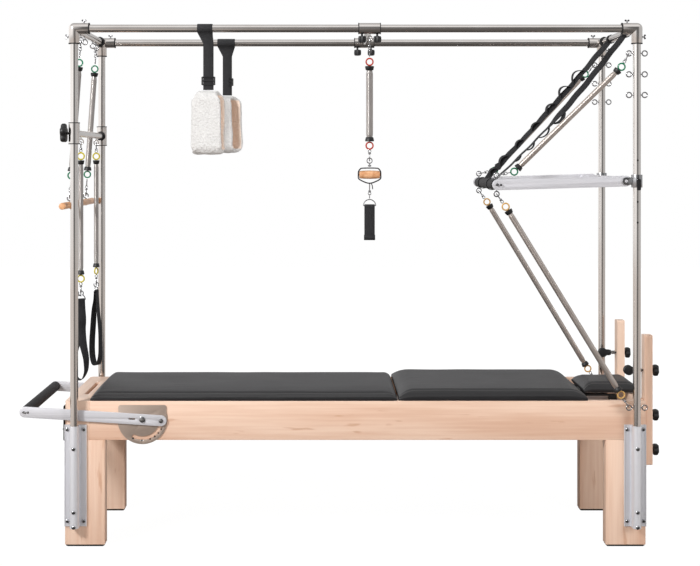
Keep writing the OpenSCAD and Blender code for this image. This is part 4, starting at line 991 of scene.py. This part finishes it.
def fleece(name, x, y, z, turn):
    """Cream pile outside, and inside the opening a warm backing, made paler and given a faint glow as
    painted light against the shade inside.
    """
    pile = Finish(name, "fleece", Roughness=0.95, Sheen_Weight=0.1, Emission_Strength=0.09)
    sockets = {"Vector": pile.place, "Location": (x, y, z), "Rotation": (0, 0, turn)}
    centred = pile.add("Mapping", {"vector_type": "TEXTURE"}, sockets)
    spot = [pile.add("SeparateXYZ", sockets={0: centred}, out=axis) for axis in "XYZ"]
    deep = (1 - spot[1].size().rise(0.024, 0.03)) * (1 - spot[2].size().rise(0.106, 0.114))
    tuft = pile.cloud(150, detail=4)
    curl = pile.add("TexVoronoi", {"feature": "SMOOTH_F1"}, {"Vector": pile.place, "Scale": 120})
    cream = pile.between(tuft * 0.6 + curl * 0.4, shade(210, 209, 208), shade(236, 236, 235))
    # Painted light: the backing inside the opening is paler than its own tan and glows faintly, to lift the
    # shade inside the cuff.
    backing_and_painted_light = pile.between(tuft, shade(236, 208, 188), shade(252, 238, 226))
    glow = pile.between(deep, (0, 0, 0, 1), shade(240, 212, 190))
    pile.wear(Base_Color=pile.between(deep, cream, backing_and_painted_light), Emission_Color=glow)
    pile.relief(tuft + curl, 0.004)
    return pile


def cuff(side, middle, turn, depth, belly, low, wrap, shift, buckle, clip):
    """One strap: the cuff as a padded band round its opening, the webbing over the rail and the buckle. The
    webbing reaches low below the rail. On the rail it is spread to wrap and moved along by shift."""
    name = body = "fleece_" + side
    x, y, z = middle
    place = at(x, y, z) @ Matrix.Rotation(turn + math.pi / 2, 4, "Z")
    tall, w, t = 240, 70, 9.5
    path = loop_points(Vector(), depth, tall, depth / 2 - 1.5, 56)
    for p in path:
        p.x *= 1 + belly * math.cos(p.z * 12)
    frames = frames_along(path, Y_WAY, True)
    section = [(1, 0.4), (1, 0.82), (0.72, 0.95), (0.2, 1), (-0.4, 0.98), (-0.9, 0.88), (-1, 0.4)]
    section = [(1.12, 0)] + section + [(-1, 0)] + [(c, -s) for c, s in reversed(section)]
    outline = [(t * c, w * s) for c, s in section[-2:] + section[:-2]]
    neck, shoulder, taper = 40, 46, 8
    for i, f in enumerate(frames):
        drop = tall / 2 - path[i].z * 1000
        widened = (w - neck) * min(1, drop / shoulder)
        half = neck + widened - taper * max(0, drop - shoulder) / (tall - shoulder)
        frames[i] = place @ f @ Matrix.Diagonal((1, half / w, 1, 1))
    bm = bmesh.new()
    swept(bm, outline, frames, True)
    bmesh.ops.recalc_face_normals(bm, faces=bm.faces)
    bmesh.ops.subdivide_edges(bm, edges=bm.edges[:], cuts=3, use_grid_fill=True)
    for _ in range(2):
        bmesh.ops.smooth_vert(
            bm, verts=bm.verts, factor=0.5, use_axis_x=True, use_axis_y=True, use_axis_z=True,
        )
    bm.normal_update()
    for v in bm.verts:
        puff = 2.6 * noise.noise(v.co * 45) + 1.5 * noise.noise(v.co * 160) + 3.2 * noise.noise(v.co * 14)
        v.co += v.normal * (puff / 1000)
    pile = fleece(name + "_pile", *mm(x, y, z), turn)
    made = piece(name + "_cuff_pile", bm, pile, body, "fleece_cuff_" + side, smooth=180)

    bm = bmesh.new()
    rail = mm(x, y, top_z)
    down = [(e * (2.2 if h < 70 else 1.6), -h) for e in both for h in (26, 40, 60, 64, 120, 180, low)]
    bow = [math.radians(a) for a in range(-150, 151, 15)]
    bend = [(17.9 * math.sin(g), 17.9 * math.cos(g)) for g in bow]
    band = [rail + mm(0, *spot) for spot in down[:7][::-1] + bend + down[7:]]
    places = frames_along(band, X_WAY)
    width = 42
    for i, spot in enumerate(band):
        fold = 1 - min(1, max(0, (rail.z - spot.z) * 1000 - 16) / 46)
        wider = Matrix.Diagonal((1, 1 + (wrap / width - 1) * fold, 1, 1))
        places[i] = Matrix.Translation(mm(shift * fold, 0, 0)) @ places[i] @ wider
    swept(bm, strap_outline(width, 2.4), places)
    shaped(name + "_webbing", bm, webbing, body, "fleece_web_" + side, smooth=50)

    bm = bmesh.new()
    seat = Matrix.Translation(rail - mm(-clip[0], 0, buckle)) @ Matrix.Rotation(clip[1], 4, "Z")
    for z_bar in (-15, 0, 15):
        rod(bm, seat @ at(-25, -4.2, z_bar, "X"), 3, 50, 1.2)
    for x_bar in (-25, 25):
        rod(bm, seat @ at(x_bar, -3, -17), 3.4, 34, 1.4)
    shaped(name + "_buckle", bm, plastic, body, "fleece_web_" + side)


cuff("near", (-539, -post_y, 1733.7), math.radians(-10), 65, 0, 250, 62, -14, 213, (0, 0))
cuff("far", (-510, post_y, 1743.7), math.radians(-40), 52, 0.5, 240, 80, -5, 180, (14, math.radians(-55)))

# The sliding bar between the foot end posts: steel sleeves and tube, a large star knob on the near sleeve,
# and two springs with yellow rings that end in loops of webbing.

paint("mid_bar", polished)
ends = [at(foot_x, s * post_y, mid_z + e * 42.5) for s in both for e in both]
shade_rings("sliding_bar_shade_rings", ends, "sliding_bar")
turnings("sliding_bar_stop", rubber, "sliding_bar", [stop(foot_x, 315, mid_z, 13.5, 19, 21, 11)])
knobs("sliding_bar_knob", [at(-1100.8, -post_y, mid_z, "-X")], (80, 24, 10, 14), "bar_knob", "mid_knob")


def hand_loop(side, sign, turn, front, rear, ring_turn):
    """One spring loop. Each knot of a strand: how far out (mm), how far turned (degrees), how high (mm)."""
    eye_z, ring_z = 1024.9, 997.7
    body, y = "loop_" + side, sign * hook_y
    p, q = mm(foot_x, y, 1658.5), mm(foot_x, y, eye_z)
    nodes = ("loop_spring_" + side, "loop_fittings_" + side)
    name = "loop_spring_" + side + "_set"
    dressed_spring(name, p, q, (61, 61), 22, "yellow", pale_steel, nodes, body, twist=ring_turn)
    bm = bmesh.new()
    hoop(bm, at(foot_x, y, eye_z), 10.5, 4.6)
    d = at(foot_x, y, ring_z) @ Matrix.Rotation(math.radians(90 - turn), 4, "Z")
    hoop(bm, d @ Matrix.Rotation(math.pi, 4, "X"), 21, 4, math.pi, 22)
    rod(bm, d @ at(-21, 0, 0, "X"), 2, 42)
    shaped("loop_rings_" + side, bm, bright, body, "loop_fittings_" + side)
    over = [(4.8, turn, 990), (4.8, turn, 997), (3.4, turn, 1000.6)]
    over += [(0, turn, 1002.2)] + [(-out, turn, z) for out, turn, z in reversed(over)]
    knots = smooth_path(front + over + rear, 4, True)
    angles = [math.radians(knot.y) for knot in knots]
    middle = mm(foot_x, y, 0)
    path = [middle + mm(k.x * math.cos(a), -k.x * math.sin(a), k.z) for k, a in zip(knots, angles)]
    bm = bmesh.new()
    strap(bm, 34, 2.8, path, [Vector((math.sin(a), math.cos(a), 0)) for a in angles], True)
    shaped("loop_webbing_" + side, bm, webbing, body, "loop_web_" + side, smooth=50)


near_front = [(-3, 2, 664), (10, 5, 671), (24, 18, 700), (29, 28, 730), (30, 38, 765), (21, 55, 820)]
near_front += [(12, 57, 872), (16, 57, 915), (8, 54, 960)]
near_rear = [(-6, 53, 960), (-12, 54, 915), (-20, 54, 870), (-31, 50, 820), (-37, 38, 775), (-36, 28, 740)]
near_rear += [(-29, 16, 700), (-16, 5, 672)]
far_front = [(0, 35, 667), (12, 32, 674), (20, 26, 700), (21, 20, 740), (20, 19, 800), (18, 20, 840)]
far_front += [(12, 16, 885), (7, 13, 945)]
far_rear = [(-6, 18, 955), (-12, 30, 915), (-17, 36, 870), (-22, 37, 820), (-26, 38, 780), (-27, 38, 735)]
far_rear += [(-23, 38, 700), (-13, 37, 674)]
hand_loop("near", -1, 52, near_front, near_rear, 0)
hand_loop("far", 1, 12, far_front, far_rear, 1.2)

# A strap of webbing, folded into a flat loop, hangs on the foot end board. Two slides hold the fold, each
# one a small frame of wire.

strap_x, strap_y = -1139.8, -226
bm = bmesh.new()
folded = loop_points(mm(strap_x, strap_y, 492), 14.5, 147, 7)
strap(bm, 42, 2.6, folded, Y_WAY, True)
shaped("foot_end_webbing", bm, webbing, "root", "foot_strap", smooth=50)
bm = bmesh.new()
for z in (468, 520):
    for x in (-9.6, 9.6):
        rod(bm, at(strap_x + x, strap_y - 26, z, "Y"), 1.6, 52)
    for y in (-26, 26):
        rod(bm, at(strap_x - 9.6, strap_y + y, z, "X"), 1.6, 19.2)
shaped("foot_end_slides", bm, bright, "root", "foot_strap")

# At the head end, star knobs clamp the risers to the bed, and the top knob of each riser holds a pulley: a
# plastic fork on a swivel pin with a small spring round it, and a metal sheave.

riser_y, pulley_z = 260, 714
seats = [at(1281.5, s * riser_y, z, "X") for s in both for z in (pulley_z, 530, 387)]
knobs("riser_star_knobs", seats, (49, 22, 20, 8), "root", "riser_knobs")
for side in ("near", "far"):
    body = "pulley_" + side
    cad_piece("pulley_fork_" + side, body, 0.0012, plastic, body)
    paint("wheel_" + side, bright)
bm = bmesh.new()
for s in both:
    for x in (1229.5, 1233.7, 1237.9, 1242.1):
        pin = at(x, s * riser_y, pulley_z) @ Matrix.Rotation(-math.pi / 2, 4, "Z")
        hoop(bm, pin, 7.5, 2.4, steps=20, section=8)
shaped("pulley_pin_coils", bm, bright, "root")
